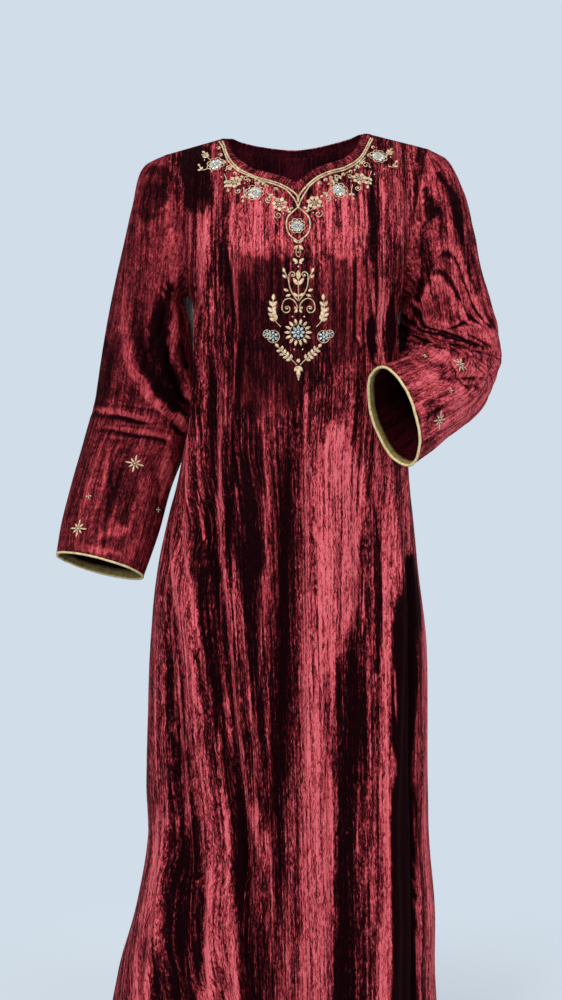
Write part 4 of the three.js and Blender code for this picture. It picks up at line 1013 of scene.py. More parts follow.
# Layers of the lie of the nap, painted as sheen in random streaks and patches: cells a metre across and
# along, detail, distortion and weight.
PANEL_LAYERS = [
    {"across": 12, "along": 2.6, "detail": 3, "warp": 0.4, "weight": 0.4},
    {"across": 44, "along": 2.2, "detail": 3, "warp": 0.25, "weight": 0.9},
    {"across": 240, "along": 5, "detail": 3, "warp": 0.2, "weight": 2.2},
    {"across": 210, "along": 48, "detail": 8, "warp": 1.3, "weight": 2.4},
    {"across": 540, "along": 170, "detail": 3, "warp": 0.8, "weight": 1.6},
]
SLEEVE_LAYERS = [
    {"across": 14, "along": 5, "detail": 3, "warp": 0.6, "weight": 0.55},
    {"across": 44, "along": 5, "detail": 3, "warp": 0.4, "weight": 0.6},
    {"across": 10, "along": 60, "detail": 2, "warp": 0.5, "weight": 0.45},
    {"across": 240, "along": 9, "detail": 3, "warp": 0.2, "weight": 1.6},
    {"across": 180, "along": 60, "detail": 7, "warp": 1.2, "weight": 1.8},
    {"across": 520, "along": 200, "detail": 3, "warp": 0.6, "weight": 1.4},
]


# The weight of the folds' painted shade and the strips' painted sheen and shade.
NAP_SHADE_WEIGHT = 0.8           # how much the folds and strips count against the fine layers
RELIEF = {"cells": 80, "finer": 1.0, "broader": 0.3}    # how much layers of each size raise the pile
DETAIL_ROUGHNESS = 0.68    # how strong the smaller of a layer's details are


def velvet_material(name, stops, layers, level):
    """Crushed velvet: its colour carries painted sheen, where a nap lies in long lines and bands with ragged
    edges and flecks, and the painted sheen and shade of the folds and strips.
    """
    s = Shader(name)
    grain = s.node("ShaderNodeUVMap", uv_map="grain").outputs[0]
    nap = s.node("ShaderNodeAttribute", attribute_name="nap").outputs["Fac"]
    lively = s.node("ShaderNodeAttribute", attribute_name="lively").outputs["Fac"]
    fine = 0.0
    height = 0.0
    for layer in layers:
        cells = (layer["across"], layer["along"], 1)
        value = s.stretched(grain, cells, layer["detail"], layer["warp"], DETAIL_ROUGHNESS)
        fine = s.math("MULTIPLY_ADD", s.math("SUBTRACT", value, 0.5), layer["weight"], fine)
        raised = RELIEF["finer"] if layer["across"] > RELIEF["cells"] else RELIEF["broader"]
        height = s.math("MULTIPLY_ADD", value, raised, height)
    # Painted sheen and shade of the folds and strips, over a level.
    lie = s.math("MULTIPLY_ADD", nap, NAP_SHADE_WEIGHT, level)
    colour = s.ramp(s.math("MULTIPLY_ADD", fine, lively, lie), stops)
    s.surface(Base_Color=colour, Roughness=0.6, Sheen_Weight=0.03, Sheen_Roughness=0.4,
              Sheen_Tint=srgb(235, 60, 80), Specular_IOR_Level=0.02)
    s.bump(height, 0.0022, 0.8)
    return s.material


# The ramp runs from painted shade in near black, through the velvet's maroon and red, to painted sheen in
# pink.
VELVET_STOPS = [
    (0.06, srgb(20, 2, 5)),
    (0.26, srgb(52, 9, 14)),
    (0.42, srgb(92, 25, 31)),
    (0.55, srgb(134, 42, 49)),
    (0.70, srgb(180, 64, 72)),
    (0.88, srgb(216, 90, 99)),
    (1.00, srgb(236, 112, 120)),
]
velvet = velvet_material("crushed_velvet", VELVET_STOPS, PANEL_LAYERS, 0.38)
sleeve_velvet = velvet_material("crushed_velvet_sleeves", VELVET_STOPS, SLEEVE_LAYERS, 0.37)

REVERSE_STOPS = [(0.2, srgb(30, 6, 12)), (0.8, srgb(74, 16, 28))]
reverse = velvet_material("velvet_back", REVERSE_STOPS, PANEL_LAYERS[2:], 0.4)


def metal_thread(name, light, dark, metallic, roughness, scale):
    """Wound metal thread or satin: fine ridges whose tops take the light tone and hollows the darker one, as
    painted highlight and shade, mixed with tone that varies at random.
    """
    s = Shader(name)
    place = s.node("ShaderNodeTexCoord").outputs["Object"]
    ridges = s.stretched(place, (scale, scale, scale), 3, 0.5)
    tone = s.stretched(place, (180, 180, 180), 2)
    mixed = s.math("MULTIPLY_ADD", s.math("SUBTRACT", tone, 0.5), 0.8, ridges)
    s.surface(Base_Color=s.ramp(mixed, [(0.3, dark), (0.6, light)]), Metallic=metallic,
              Roughness=s.math("MULTIPLY_ADD", ridges, 0.3, roughness))
    s.bump(ridges, 0.0006, 0.6)
    return s.material


def stone_material():
    """Cut glass on foil: pale silver, with painted reflections that flash from cell to cell."""
    s = Shader("cut_stone")
    place = s.node("ShaderNodeTexCoord").outputs["Object"]
    cells = s.node("ShaderNodeTexVoronoi", {"Vector": place, "Scale": 700.0}).outputs["Color"]
    value = s.node("ShaderNodeSeparateColor", {"Color": cells}).outputs[0]
    painted_flash_tones = [(0.1, srgb(120, 140, 140)), (0.5, srgb(190, 208, 208)), (0.9, srgb(244, 250, 250))]
    s.surface(Base_Color=s.ramp(value, painted_flash_tones), Metallic=0.35, Roughness=0.16, Coat_Weight=0.6)
    return s.material


# Each thread's darker tone is painted shade in its hollows, the lighter one painted highlight on its ridges.
gold_thread = metal_thread("gold_thread_zari", srgb(240, 214, 174), srgb(158, 112, 74), 0.15, 0.32, 1500)
gold_bead = metal_thread("gold_bead", srgb(248, 236, 212), srgb(206, 172, 128), 0.15, 0.2, 900)
gold_binding = metal_thread("gold_piping", srgb(238, 222, 172), srgb(196, 170, 104), 0.15, 0.4, 1500)
gold_facing = metal_thread("gold_facing", srgb(184, 158, 92), srgb(120, 98, 50), 0.15, 0.45, 1200)
cut_stone = stone_material()


# ---------------------------------------------------------------- cloth pieces

def sew(obj, node, slot, **sheet):
    """Puts a cloth piece in the place of its solid; slot and sheet are not used."""
    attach(obj, "root")
    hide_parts(node)
    return obj


def dress_piece(name, cloth, node, flat, area, outside=velvet):
    """A part of the dress that hangs from its neck band."""
    return sew(shell(name, cloth, [outside, reverse]), node, "velvet",
               flat=flat, held="hung", rests_on=["neck_band"], area=area)


front_piece = dress_piece("front_velvet", front, "front_panel", (0.80, 1.40), 0.86)
dress_piece("back_velvet", back, "back_panel", (0.80, 1.40), 0.83)
sleeve_pieces = {}
for side_name, cloth in sleeves.items():
    sleeve_pieces[side_name] = dress_piece(f"{side_name}_sleeve_velvet", cloth, f"sleeve_{side_name}",
                                           (0.42, 0.62), 0.24, sleeve_velvet)


def neck_loop(grid_front, grid_back):
    """The neck seam's columns of the front from the wearer's right, then of the back home."""
    start, end = SIDE_COLUMNS, SIDE_COLUMNS + NECK_COLUMNS
    return np.concatenate([grid_front[0, start:end + 1], grid_back[0, start + 1:end][::-1]])


def ways_across(loop, normals):
    """At each point of a loop, the way across it in the cloth, lengthened at its corners."""
    first = unit(np.cross(normals, loop - np.roll(loop, 1, 0)))
    second = unit(np.cross(normals, np.roll(loop, -1, 0) - loop))
    middle = unit(first + second)
    square = np.sum(middle * first, axis=1, keepdims=True)
    return middle / np.maximum(0.6, square)


# Section of the neck band as [across from the seam to the neck, lift off the cloth].
BAND_PROFILE = [(0, 0), (1.5, 0.5), (4, 0.7), (7, 0.7), (9.5, 0.5), (11, 0.1), (BAND_WIDTH, -0.9)]
BAND_GRAIN = 4.0          # the pile of the bias strip is drawn this much finer across it
# The band's painted sheen: a level with slow waves of lighter and darker along it.
BAND_SHEEN = {"level": 0.04, "waves": 0.1, "wave_length": 9}
BAND_THICKNESS = VELVET + 0.4
SHOULDER_CORNERS = {"columns": 7, "level": 0.85}    # near these the band lies almost level

neck_seam = neck_loop(front["rows"], back["rows"])
neck_normals = neck_loop(*(grid_normals(cloth["rows"], False, cloth["turned"]) for cloth in (front, back)))
to_neck = ways_across(neck_seam, neck_normals)
for unused in range(2):
    to_neck = (np.roll(to_neck, 1, 0) + 2 * to_neck + np.roll(to_neck, -1, 0)) / 4
for corner in (0, NECK_COLUMNS, len(neck_seam)):
    columns_off = np.arange(len(neck_seam)) - corner
    near = np.exp(-((columns_off / SHOULDER_CORNERS["columns"]) ** 2))
    to_neck[:, 2] *= 1 - SHOULDER_CORNERS["level"] * near
band_rows = np.array([neck_seam + to_neck * across + neck_normals * lift for across, lift in BAND_PROFILE])
loop_run = np.concatenate([[0], np.cumsum(np.linalg.norm(np.diff(neck_seam, axis=0), axis=1))])
loop_run = np.append(loop_run, loop_run[-1] + np.linalg.norm(neck_seam[0] - neck_seam[-1]))
band_across = np.array([across for across, unused in BAND_PROFILE])
band = {
    "rows": band_rows, "closed": True, "turned": True, "thickness": BAND_THICKNESS,
    "grain": np.stack(np.broadcast_arrays(loop_run[None, :], band_across[:, None] * BAND_GRAIN), -1),
    "nap": BAND_SHEEN["level"] + BAND_SHEEN["waves"] * np.sin(loop_run[:-1] / BAND_SHEEN["wave_length"]),
    "lively": 0.8,
}
sew(shell("neck_band_velvet", band, [velvet, reverse]), "neck_band", "velvet",
    flat=(0.62, 0.015), held="stretched", rests_on=["front_velvet", "back_velvet"])

# Section of a cuff binding as [out, along] from the middle of the velvet's cut edge: a
# rolled cord past the edge, and a flat facing inside the sleeve.
CUFF_PROFILE = [
    (1.1, 0.3), (1.6, 1.2), (1.4, 2.3), (0.7, 3.1), (-0.4, 3.4), (-1.5, 3.1), (-2.3, 2.3), (-2.6, 1.2),
    (-2.6, -2), (-2.6, -6), (-2.6, -11), (-1.6, -11), (-1.6, -6), (-1.6, -2), (-1.6, 0.3),
]
FACING_FACES = range(7, 14)     # the profile's steps that are facing, not cord


def cuff_binding(name, cloth):
    """The cord and facing sewn round a sleeve's last row."""
    rows = cloth["rows"]
    normals = grid_normals(rows, True, cloth["turned"])
    runs = walked(rows, 0).mean(1)
    ahead = unit(rows[-1] - rows[-2])
    last = len(rows) - 1
    points = []
    for out, along in CUFF_PROFILE:
        place = np.interp(runs[-1] + min(along, 0), runs, np.arange(len(rows)))
        i = min(int(place), last - 1)
        edge = lerp(rows[i], rows[i + 1], place - i)
        normal = unit(lerp(normals[i], normals[i + 1], place - i))
        points.append(edge + normal * out + ahead * max(along, 0))
    count, corners = SLEEVE_COLUMNS, len(CUFF_PROFILE)
    faces, kinds = [], []
    for k in range(corners):
        for j in range(count):
            m, n = (k + 1) % corners, (j + 1) % count
            face = [k * count + j, k * count + n, m * count + n, m * count + j]
            faces.append(face[::-1] if cloth["turned"] else face)
            kinds.append(1 if k in FACING_FACES else 0)
    return new_object(name, np.concatenate(points), faces, [gold_binding, gold_facing], kinds)


for side_name in ("right", "left"):
    sew(cuff_binding(f"{side_name}_cuff_piping", sleeves[side_name]), f"cuff_binding_{side_name}",
        "gold_binding", flat=(0.36, 0.02), held="stretched", rests_on=[f"{side_name}_sleeve_velvet"])


# ---------------------------------------------------------------- stitches

THREAD, STONE, BEAD = 0, 1, 2
CORD_SIZE = 1.3                # cords and leaves against the sizes given in the pattern
LEAF_SIZE = {"length": 1.22, "width": 1.75}
SEEN_FROM_Y = -400             # in front of the whole dress
OVER_CLOTH = 12                # from here places near a middle are looked for
STITCH_LIFT = 0.1              # stitches stand off the cloth by this


class Cloth:
    """A velvet piece that stitches are set on."""

    def __init__(self, obj):
        mesh = obj.data
        points = np.empty(len(mesh.vertices) * 3)
        mesh.vertices.foreach_get("co", points)
        polygons = [list(polygon.vertices) for polygon in mesh.polygons]
        self.tree = BVHTree.FromPolygons((points.reshape(-1, 3) / MM).tolist(), polygons)

    def under(self, start, way):
        point, normal, unused, unused = self.tree.ray_cast(Vector(start), Vector(way))
        if point is None:
            point, normal, unused, unused = self.tree.find_nearest(Vector(start))
        return np.array(point), np.array(normal)

    def seen(self, x, z):
        """The outer face of the cloth at a place as it is seen from the front."""
        return self.under((x, SEEN_FROM_Y, z), (0, 1, 0))

    def frame(self, x, z):
        """A way to reach places round a middle, measured square to the cloth there."""
        point, normal = self.seen(x, z)
        across = unit(np.array([1.0, 0, 0]) - normal * normal[0])
        up = np.cross(across, normal)
        up = up if up[2] > 0 else -up
        return lambda a, b: self.under(point + OVER_CLOTH * normal + a * across + b * up, -normal)

    def line(self, stations, step):
        """A smooth line through [x, z] stations, laid on the cloth."""
        knots = np.array(stations, float)[:, None, :]
        rough = np.linalg.norm(np.diff(knots[:, 0], axis=0), axis=1).sum()
        count = max(4, int(rough / step))
        return [self.seen(*spline(knots, k / count)[0]) for k in range(count + 1)]


def ring_faces(rings, sides, first=0):
    """Faces between each ring of points and the next one."""
    faces = []
    for low in range(first, first + (rings - 1) * sides, sides):
        for i in range(sides):
            j = (i + 1) % sides
            faces.append([low + i, low + j, low + sides + j, low + sides + i])
    return faces


LEAF_OUTLINE = [(0, 0), (0.22, 0.36), (0.5, 0.5), (0.78, 0.34), (1, 0), (0.78, -0.34), (0.5, -0.5),
                (0.22, -0.36)]
STONE_CORNERS = 8
BEAD_SHAPE = {"sides": 8, "levels": (-0.6, 0.1, 0.75), "centre": 0.8}


class Stitches:
    """The raised shapes of one stitched piece, each of thread, stone or bead."""

    def __init__(self):
        self.points, self.faces, self.kinds = [], [], []

    def add(self, points, faces, kind):
        start = sum(len(p) for p in self.points)
        self.points.append(np.asarray(points))
        self.faces += [[start + i for i in face] for face in faces]
        self.kinds += [kind] * len(faces)

    def tube(self, centres, ups, radius, sides=5):
        """A round thread through places, drawn in at its ends."""
        ahead = unit(np.gradient(centres, axis=0))
        up = unit(ups - ahead * np.sum(ups * ahead, axis=1, keepdims=True))
        across = np.cross(ahead, up)
        count = len(centres)
        ends = np.minimum(1, 0.25 + np.minimum(np.arange(count), np.arange(count)[::-1]) / 2)
        turn = 2 * math.pi * np.arange(sides) / sides
        ring = np.cos(turn)[:, None, None] * up + np.sin(turn)[:, None, None] * across
        points = (centres + radius * ends[:, None] * ring).transpose(1, 0, 2).reshape(-1, 3)
        faces = [list(range(sides))[::-1], list(range((count - 1) * sides, count * sides))]
        self.add(points, faces + ring_faces(count, sides), THREAD)

    def cord(self, places, radius, pitch=3.2):
        """Two threads twisted round each other through places on the cloth."""
        radius = radius * CORD_SIZE
        base = np.array([point for point, unused in places])
        normals = np.array([normal for unused, normal in places])
        run = np.concatenate([[0], np.cumsum(np.linalg.norm(np.diff(base, axis=0), axis=1))])
        at = np.linspace(0, run[-1], max(6, int(run[-1] / pitch * 5)))
        centres = np.stack([np.interp(at, run, base[:, k]) for k in range(3)], -1)
        up = unit(np.stack([np.interp(at, run, normals[:, k]) for k in range(3)], -1))
        centres = centres + up * (radius + 0.15)
        across = unit(np.cross(np.gradient(centres, axis=0), up))
        for start in (0, math.pi):
            turn = (2 * math.pi * at / pitch + start)[:, None]
            self.tube(centres + 0.5 * radius * (np.cos(turn) * up + np.sin(turn) * across), up, 0.6 * radius)

    def dome(self, reach, outline, middle, height, kind, flat_top=0.0):
        """A low dome on the cloth over an outline of [across, up] places round its middle."""
        levels = [(1.0, 0.0), (0.92, 0.45), (0.62, 0.85)]
        if flat_top:
            levels = [(1.0, 0.0), (1.0, 0.4), (flat_top, 1.0)]
        count = len(outline)
        points = []
        for share, lift in levels:
            for place in outline:
                point, normal = reach(*(middle + (place - middle) * share))
                points.append(point + normal * (STITCH_LIFT + height * lift))
        faces = ring_faces(len(levels), count)
        faces.append(list(range(count))[::-1])
        top = (len(levels) - 1) * count
        if flat_top:
            faces.append([top + i for i in range(count)])
        else:
            point, normal = reach(*middle)
            points.append(point + normal * (STITCH_LIFT + height))
            faces += [[top + i, top + (i + 1) % count, top + count] for i in range(count)]
        self.add(points, faces, kind)

    def leaf(self, reach, root, turn, length, width, height=1.1):
        """A slender leaf from its root, leaning by turn from upright."""
        length, width = length * LEAF_SIZE["length"], width * LEAF_SIZE["width"]
        ahead = heading(turn)
        across = np.array([ahead[1], -ahead[0]])
        outline = [np.array(root) + ahead * length * a - across * width * b for a, b in LEAF_OUTLINE]
        self.dome(reach, outline, np.array(root) + ahead * length / 2, height, THREAD)

    def stone(self, reach, middle, turn, length, width, height=1.5):
        """A cut stone with a flat table, round or drawn out along its turn."""
        ahead = heading(turn)
        across = np.array([ahead[1], -ahead[0]])
        angles = 2 * math.pi * np.arange(STONE_CORNERS) / STONE_CORNERS
        outline = [np.array(middle) + ahead * math.cos(t) * length / 2 - across * math.sin(t) * width / 2
                   for t in angles]
        self.dome(reach, outline, np.array(middle), height, STONE, flat_top=0.5)

    def bead(self, reach, middle, radius):
        """A round bead that is sunk a little into the cloth."""
        point, normal = reach(*middle)
        centre = point + normal * radius * BEAD_SHAPE["centre"]
        across = unit(np.cross(normal, [0.3, 0.2, 0.9]))
        up = np.cross(normal, across)
        sides, levels = BEAD_SHAPE["sides"], BEAD_SHAPE["levels"]
        points = [centre - normal * radius]
        for lift in levels:
            for t in 2 * math.pi * np.arange(sides) / sides:
                out = math.cos(t) * across + math.sin(t) * up
                points.append(centre + radius * (normal * lift + math.sqrt(1 - lift * lift) * out))
        points.append(centre + normal * radius)
        faces = ring_faces(len(levels), sides, 1)
        top = 1 + (len(levels) - 1) * sides
        for i in range(sides):
            j = (i + 1) % sides
            faces += [[0, 1 + j, 1 + i], [top + i, top + j, len(points) - 1]]
        self.add(points, faces, BEAD)

    def loop(self, reach, turn, inner, outer, width, radius=0.5):
        """A petal-shaped loop of thread from a flower's middle."""
        ahead = heading(turn)
        across = np.array([ahead[1], -ahead[0]])
        places = []
        for t in np.linspace(0, 1, 15):
            way = inner + (outer - inner) * (0.5 - 0.5 * math.cos(2 * math.pi * t))
            places.append(reach(*(ahead * way + across * width / 2 * math.sin(2 * math.pi * t))))
        self.cord(places, radius, 2.2)

    def piece(self, name, slot, *nodes):
        """Makes the piece. Without nodes it is fine work that the solids don't have."""
        obj = new_object(name, np.concatenate(self.points), self.faces, [gold_thread, cut_stone, gold_bead],
                         self.kinds, smooth=[kind != STONE for kind in self.kinds])
        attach(obj, "root")
        if nodes:
            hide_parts(*nodes)


def daisy(stitches, reach, radius, petals=8):
    """Silver petals round a stone, each in a loop of gold thread."""
    stitches.stone(reach, (0, 0), 0, 0.4 * radius, 0.4 * radius, 2.4)
    for k in range(petals):
        turn = 2 * math.pi * (k + 0.5) / petals
        stitches.stone(reach, 0.5 * radius * heading(turn), turn, 0.52 * radius, 0.36 * radius, 1.7)
        stitches.loop(reach, turn, 0.25 * radius, radius, 0.56 * radius)
        stitches.bead(reach, 0.86 * radius * heading(turn + math.pi / petals), 0.8)


def thread_ring(stitches, reach, radius, steps, cord):
    places = [reach(*(radius * heading(t))) for t in np.linspace(0, 2 * math.pi, steps + 1)]
    stitches.cord(places, cord, 2.2)


def rosette(stitches, reach, radius, petals):
    """Gold petals round a ring of thread and a small stone."""
    stitches.stone(reach, (0, 0), 0, 0.34 * radius, 0.34 * radius, 1.6)
    thread_ring(stitches, reach, 0.34 * radius, 12, 0.5)
    for k in range(petals):
        turn = 2 * math.pi * (k + 0.5) / petals
        stitches.leaf(reach, 0.4 * radius * heading(turn), turn, 0.6 * radius, 0.36 * radius, 1.3)
        stitches.bead(reach, 0.8 * radius * heading(turn + math.pi / petals), 0.7)


def medallion(stitches, reach, radius):
    """A large flower: silver petals inside a wreath of slender gold ones."""
    stitches.stone(reach, (0, 0), 0, 5.4, 5.4, 2.4)
    for k in range(8):
        turn = 2 * math.pi * k / 8
        stitches.stone(reach, 0.36 * radius * heading(turn), turn, 6.6, 4.2, 1.9)
    for k in range(14):
        turn = 2 * math.pi * (k + 0.5) / 14
        stitches.leaf(reach, 0.56 * radius * heading(turn), turn, 0.44 * radius, 2.6, 1.5)
        stitches.bead(reach, 0.62 * radius * heading(turn + 0.22), 0.7)


def cluster(stitches, reach, radius):
    """Close-set stones and beads inside a ring of thread."""
    stitches.stone(reach, (0, 0), 0, 0.5 * radius, 0.5 * radius, 2.0)
    for k in range(6):
        turn = 2 * math.pi * k / 6
        stitches.stone(reach, 0.56 * radius * heading(turn), turn, 0.5 * radius, 0.42 * radius, 1.7)
        stitches.bead(reach, 0.9 * radius * heading(turn), 0.75)
    thread_ring(stitches, reach, 0.95 * radius, 24, 0.45)


def star(stitches, reach, radius, arms=8):
    """A small stone with gold arms, every other one shorter."""
    stitches.stone(reach, (0, 0), 0, 3.2, 3.2, 1.4)
    for k in range(arms):
        turn = 2 * math.pi * (k + 0.25) / arms
        length = radius * (1 if k % 2 == 0 else 0.72)
        stitches.leaf(reach, 1.6 * heading(turn), turn, length - 1.6, 1.7, 0.8)


def curl(middle, size, start, way, turns=1.25, steps=12):
    """Stations of a curl that winds in to its middle from an angle in degrees."""
    found = []
    for k in range(steps + 1):
        t = k / steps
        angle = math.radians(start) + way * 2 * math.pi * turns * t
        r = size * (1 - 0.82 * t)
        found.append((middle[0] + r * math.sin(angle), middle[1] + r * math.cos(angle)))
    return found


def spray(stitches, cloth, stations, leaf_length, leaf_width, count, lean=0.75):
    """A stem with a leaf at its tip and pairs of leaves along it."""
    knots = np.array(stations, float)[:, None, :]
    stitches.cord(cloth.line(stations, 1.0), 0.62, 2.4)
    for k in range(count + 1):
        t = 1 - 0.8 * k / (count + 1)
        x, z = spline(knots, t)[0]
        ahead = spline(knots, min(1, t + 0.02))[0] - spline(knots, max(0, t - 0.02))[0]
        turn = math.atan2(ahead[0], ahead[1])
        reach = cloth.frame(x, z)
        if k == 0:
            stitches.leaf(reach, (0, 0), turn, leaf_length, leaf_width)
            continue
        for side in (-1, 1):
            stitches.leaf(reach, (0, 0), turn + side * lean, leaf_length, leaf_width)
        stitches.stone(reach, (0, 0), turn, 2.4, 2.0, 2.0)


# The embroidery is laid out as seen from the front, in x and z.
chest = Cloth(front_piece)
MIDDLE = 0.8                 # the embroidery's own middle line


def mirrored(stations, side):
    return [(MIDDLE + side * x, z) for x, z in stations]


def chest_place(x, z, side=1):
    """A way to reach places round one of the mirrored pattern's, given out from its middle."""
    return chest.frame(MIDDLE + side * x, z)


# Cords beside the neck seam, at these distances from it. They cross below the V, where the
# lower pair opens into the pointed ring. Each tail is [out from the middle, z].
NECK_CORDS = [
    {"name": "neck_cord_upper", "distance": 3.0, "radius": 1.1, "nodes": ["neck_cord_upper"],
     "tail": [(2, -115), (0, -126)]},
    {"name": "neck_cord_lower", "distance": 6.6, "radius": 1.0, "nodes": ["neck_cord_lower", "pendant_ring"],
     "tail": [(4, -123.6), (0, -133.3), (-8, -141), (-15.5, -150), (-17.5, -164), (-13, -177), (0, -188)]},
]
CORD_COLUMNS = {-1: range(2, NECK_COLUMNS // 2 - 2), 1: range(NECK_COLUMNS - 2, NECK_COLUMNS // 2 + 2, -1)}
SEAM_LIFT = 20          # the cords' places are looked for from this far off the cloth

for setting in NECK_CORDS:
    cords = Stitches()
    off_seam = neck_seam - to_neck * setting["distance"] + neck_normals * SEAM_LIFT
    for side, columns in CORD_COLUMNS.items():
        places = [chest.under(off_seam[k], -neck_normals[k]) for k in columns]
        end = places[-1][0]
        tail = mirrored(setting["tail"], side)
        places += chest.line([(end[0], end[2])] + tail, 1.5)[1:]
        cords.cord(places, setting["radius"])
    cords.piece(f"stitched_{setting['name']}", "gold_thread", *setting["nodes"])

for name, x, z, radius in (
    ("silver_flower_right_shoulder", -125, -56, 14), ("silver_flower_right_chest", -64, -108, 14.5),
    ("silver_flower_left_chest", 62, -104, 14.5), ("silver_flower_left_shoulder", 125, -42, 14),
):
    flower = Stitches()
    daisy(flower, chest.frame(x, z), radius)
    flower.piece(f"stitched_{name}", "rhinestones", name)

for name, x, z, radius, petals in (
    ("gold_rosette_right", -95, -88, 11, 7), ("gold_rosette_left", 94, -82, 11, 7),
    ("leaf_flower_right", -27, -128, 11, 7), ("leaf_flower_left", 25, -126, 11, 7),
):
    flower = Stitches()
    rosette(flower, chest.frame(x, z), radius, petals)
    flower.piece(f"stitched_{name}", "gold_thread", name)
flower = Stitches()
daisy(flower, chest.frame(-1, -163), 12.5)
flower.piece("stitched_ring_flower", "rhinestones", "ring_flower")

# A row of leaves and beads along the outer cord.
NECK_LEAVES = {"off_seam": 9.5, "columns": range(6, 46, 4), "tip": 5.5}
for side_name, side in both_sides():
    row_of_leaves = Stitches()
    for column in NECK_LEAVES["columns"]:
        k = column if side < 0 else NECK_COLUMNS - column
        root = neck_seam[k] - to_neck[k] * NECK_LEAVES["off_seam"]
        away = -to_neck[k]
        turn = math.atan2(away[0], away[2])
        reach = chest.frame(root[0], root[2])
        for lean in (-0.7, 0.7):
            row_of_leaves.leaf(reach, (0, 0), turn + lean, 4.6, 1.7, 0.9)
        row_of_leaves.bead(reach, NECK_LEAVES["tip"] * heading(turn), 0.9)
    row_of_leaves.piece(f"neck_leaves_{side_name}", "gold_thread")

# Small curls, sprays and beads between the flowers of the neck, as [out from the middle, z].
NECK_CURLS = [
    {"middle": (30, -146), "size": 6.5, "start": 30, "way": 1},
    {"middle": (44, -121), "size": 5.5, "start": 200, "way": -1},
    {"middle": (90, -104), "size": 5, "start": 60, "way": 1},
    {"middle": (104, -64), "size": 5.5, "start": 120, "way": -1},
    {"middle": (78, -84), "size": 4, "start": 300, "way": 1},
]
NECK_SPRAYS = [
    {"stem": [(112, -74), (108, -86), (106, -98)], "leaf": (6.5, 2.6), "pairs": 2},
    {"stem": [(133, -49), (139, -42), (143, -35)], "leaf": (6.5, 2.6), "pairs": 2},
    {"stem": [(82, -98), (80, -110), (82, -118)], "leaf": (5.5, 2.2), "pairs": 1},
    {"stem": [(48, -106), (44, -112), (38, -116)], "leaf": (5.5, 2.2), "pairs": 1},
    {"stem": [(22, -138), (17, -140), (13, -137)], "leaf": (5.5, 2.2), "pairs": 1},
    {"stem": [(138, -64), (146, -66), (150, -58)], "leaf": (5.5, 2.4), "pairs": 1},
    {"stem": [(104, -50), (97, -58), (88, -70)], "leaf": (4.5, 2.0), "pairs": 2},
    {"stem": [(76, -76), (62, -86), (48, -96)], "leaf": (4.5, 2.0), "pairs": 3},
]
NECK_BEADS = [(22, -144), (46, -121), (80, -92), (90, -104), (74, -118), (110, -68), (116, -80), (36, -134),
              (56, -124), (143, -48), (131, -70), (104, -96), (16, -134), (9, -142)]
NECK_SHIFTS = {"right": 0, "left": 5}


def beside_neck(stations, side, shift):
    """Mirrored stations of the neck. The wearer's left shoulder is a little higher, so its
    side of the work is shifted up, by its full shift from 100 mm out."""
    return [(MIDDLE + side * x, z + shift * min(1, x / 100)) for x, z in stations]


for side_name, side in both_sides():
    vines = Stitches()
    shift = NECK_SHIFTS[side_name]
    for item in NECK_CURLS:
        stations = curl(item["middle"], item["size"], item["start"], item["way"])
        vines.cord(chest.line(beside_neck(stations, side, shift), 0.8), 0.6, 2.4)
    for item in NECK_SPRAYS:
        spray(vines, chest, beside_neck(item["stem"], side, shift), *item["leaf"], item["pairs"])
    for place in beside_neck(NECK_BEADS, side, shift):
        vines.bead(chest.frame(*place), (0, 0), 1.1)
    vines.piece(f"neck_vines_{side_name}", "gold_thread")

# The chain below the ring.
chain = Stitches()
for z, length, lean in ((-190, 9, 0.7), (-193, 8, 2.4)):
    for side in (-1, 1):
        chain.leaf(chest_place(0, z), (side * 0.6, 0), side * lean, length, 3)
chain.loop(chest_place(0, -197), math.pi, 0, 14, 7, 0.5)
chain.bead(chest_place(0, -204), (0, 0), 1.3)
chain.piece("stitched_chain_upper", "gold_thread", "chain_leaf_upper")
chain = Stitches()
for side in (-1, 1):
    chain.leaf(chest_place(0, -220), (side * 0.6, 0), side * 0.8, 9, 3)
    chain.leaf(chest_place(0, -218), (side * 0.6, 0), side * 2.2, 5, 2.2)
chain.bead(chest_place(0, -226), (0, 0), 1.3)
chain.piece("stitched_chain_lower", "gold_thread", "chain_leaf_lower")

# The medallion.
stem = Stitches()
stem.cord(chest.line([(MIDDLE, -232), (MIDDLE, -252), (MIDDLE, -276)], 1.0), 0.75)
fan = chest_place(0, -250)
stem.leaf(chest_place(0, -246), (0, 0), 0, 13, 4)
for lean in (-0.6, 0.6):
    stem.leaf(fan, (0, -4), lean, 12, 3.2)
for lean in (-1.1, 1.1):
    stem.leaf(chest_place(0, -270), (0, 0), lean, 10, 2.8)
stem.piece("stitched_fan_stem", "gold_thread", "fan_stem")

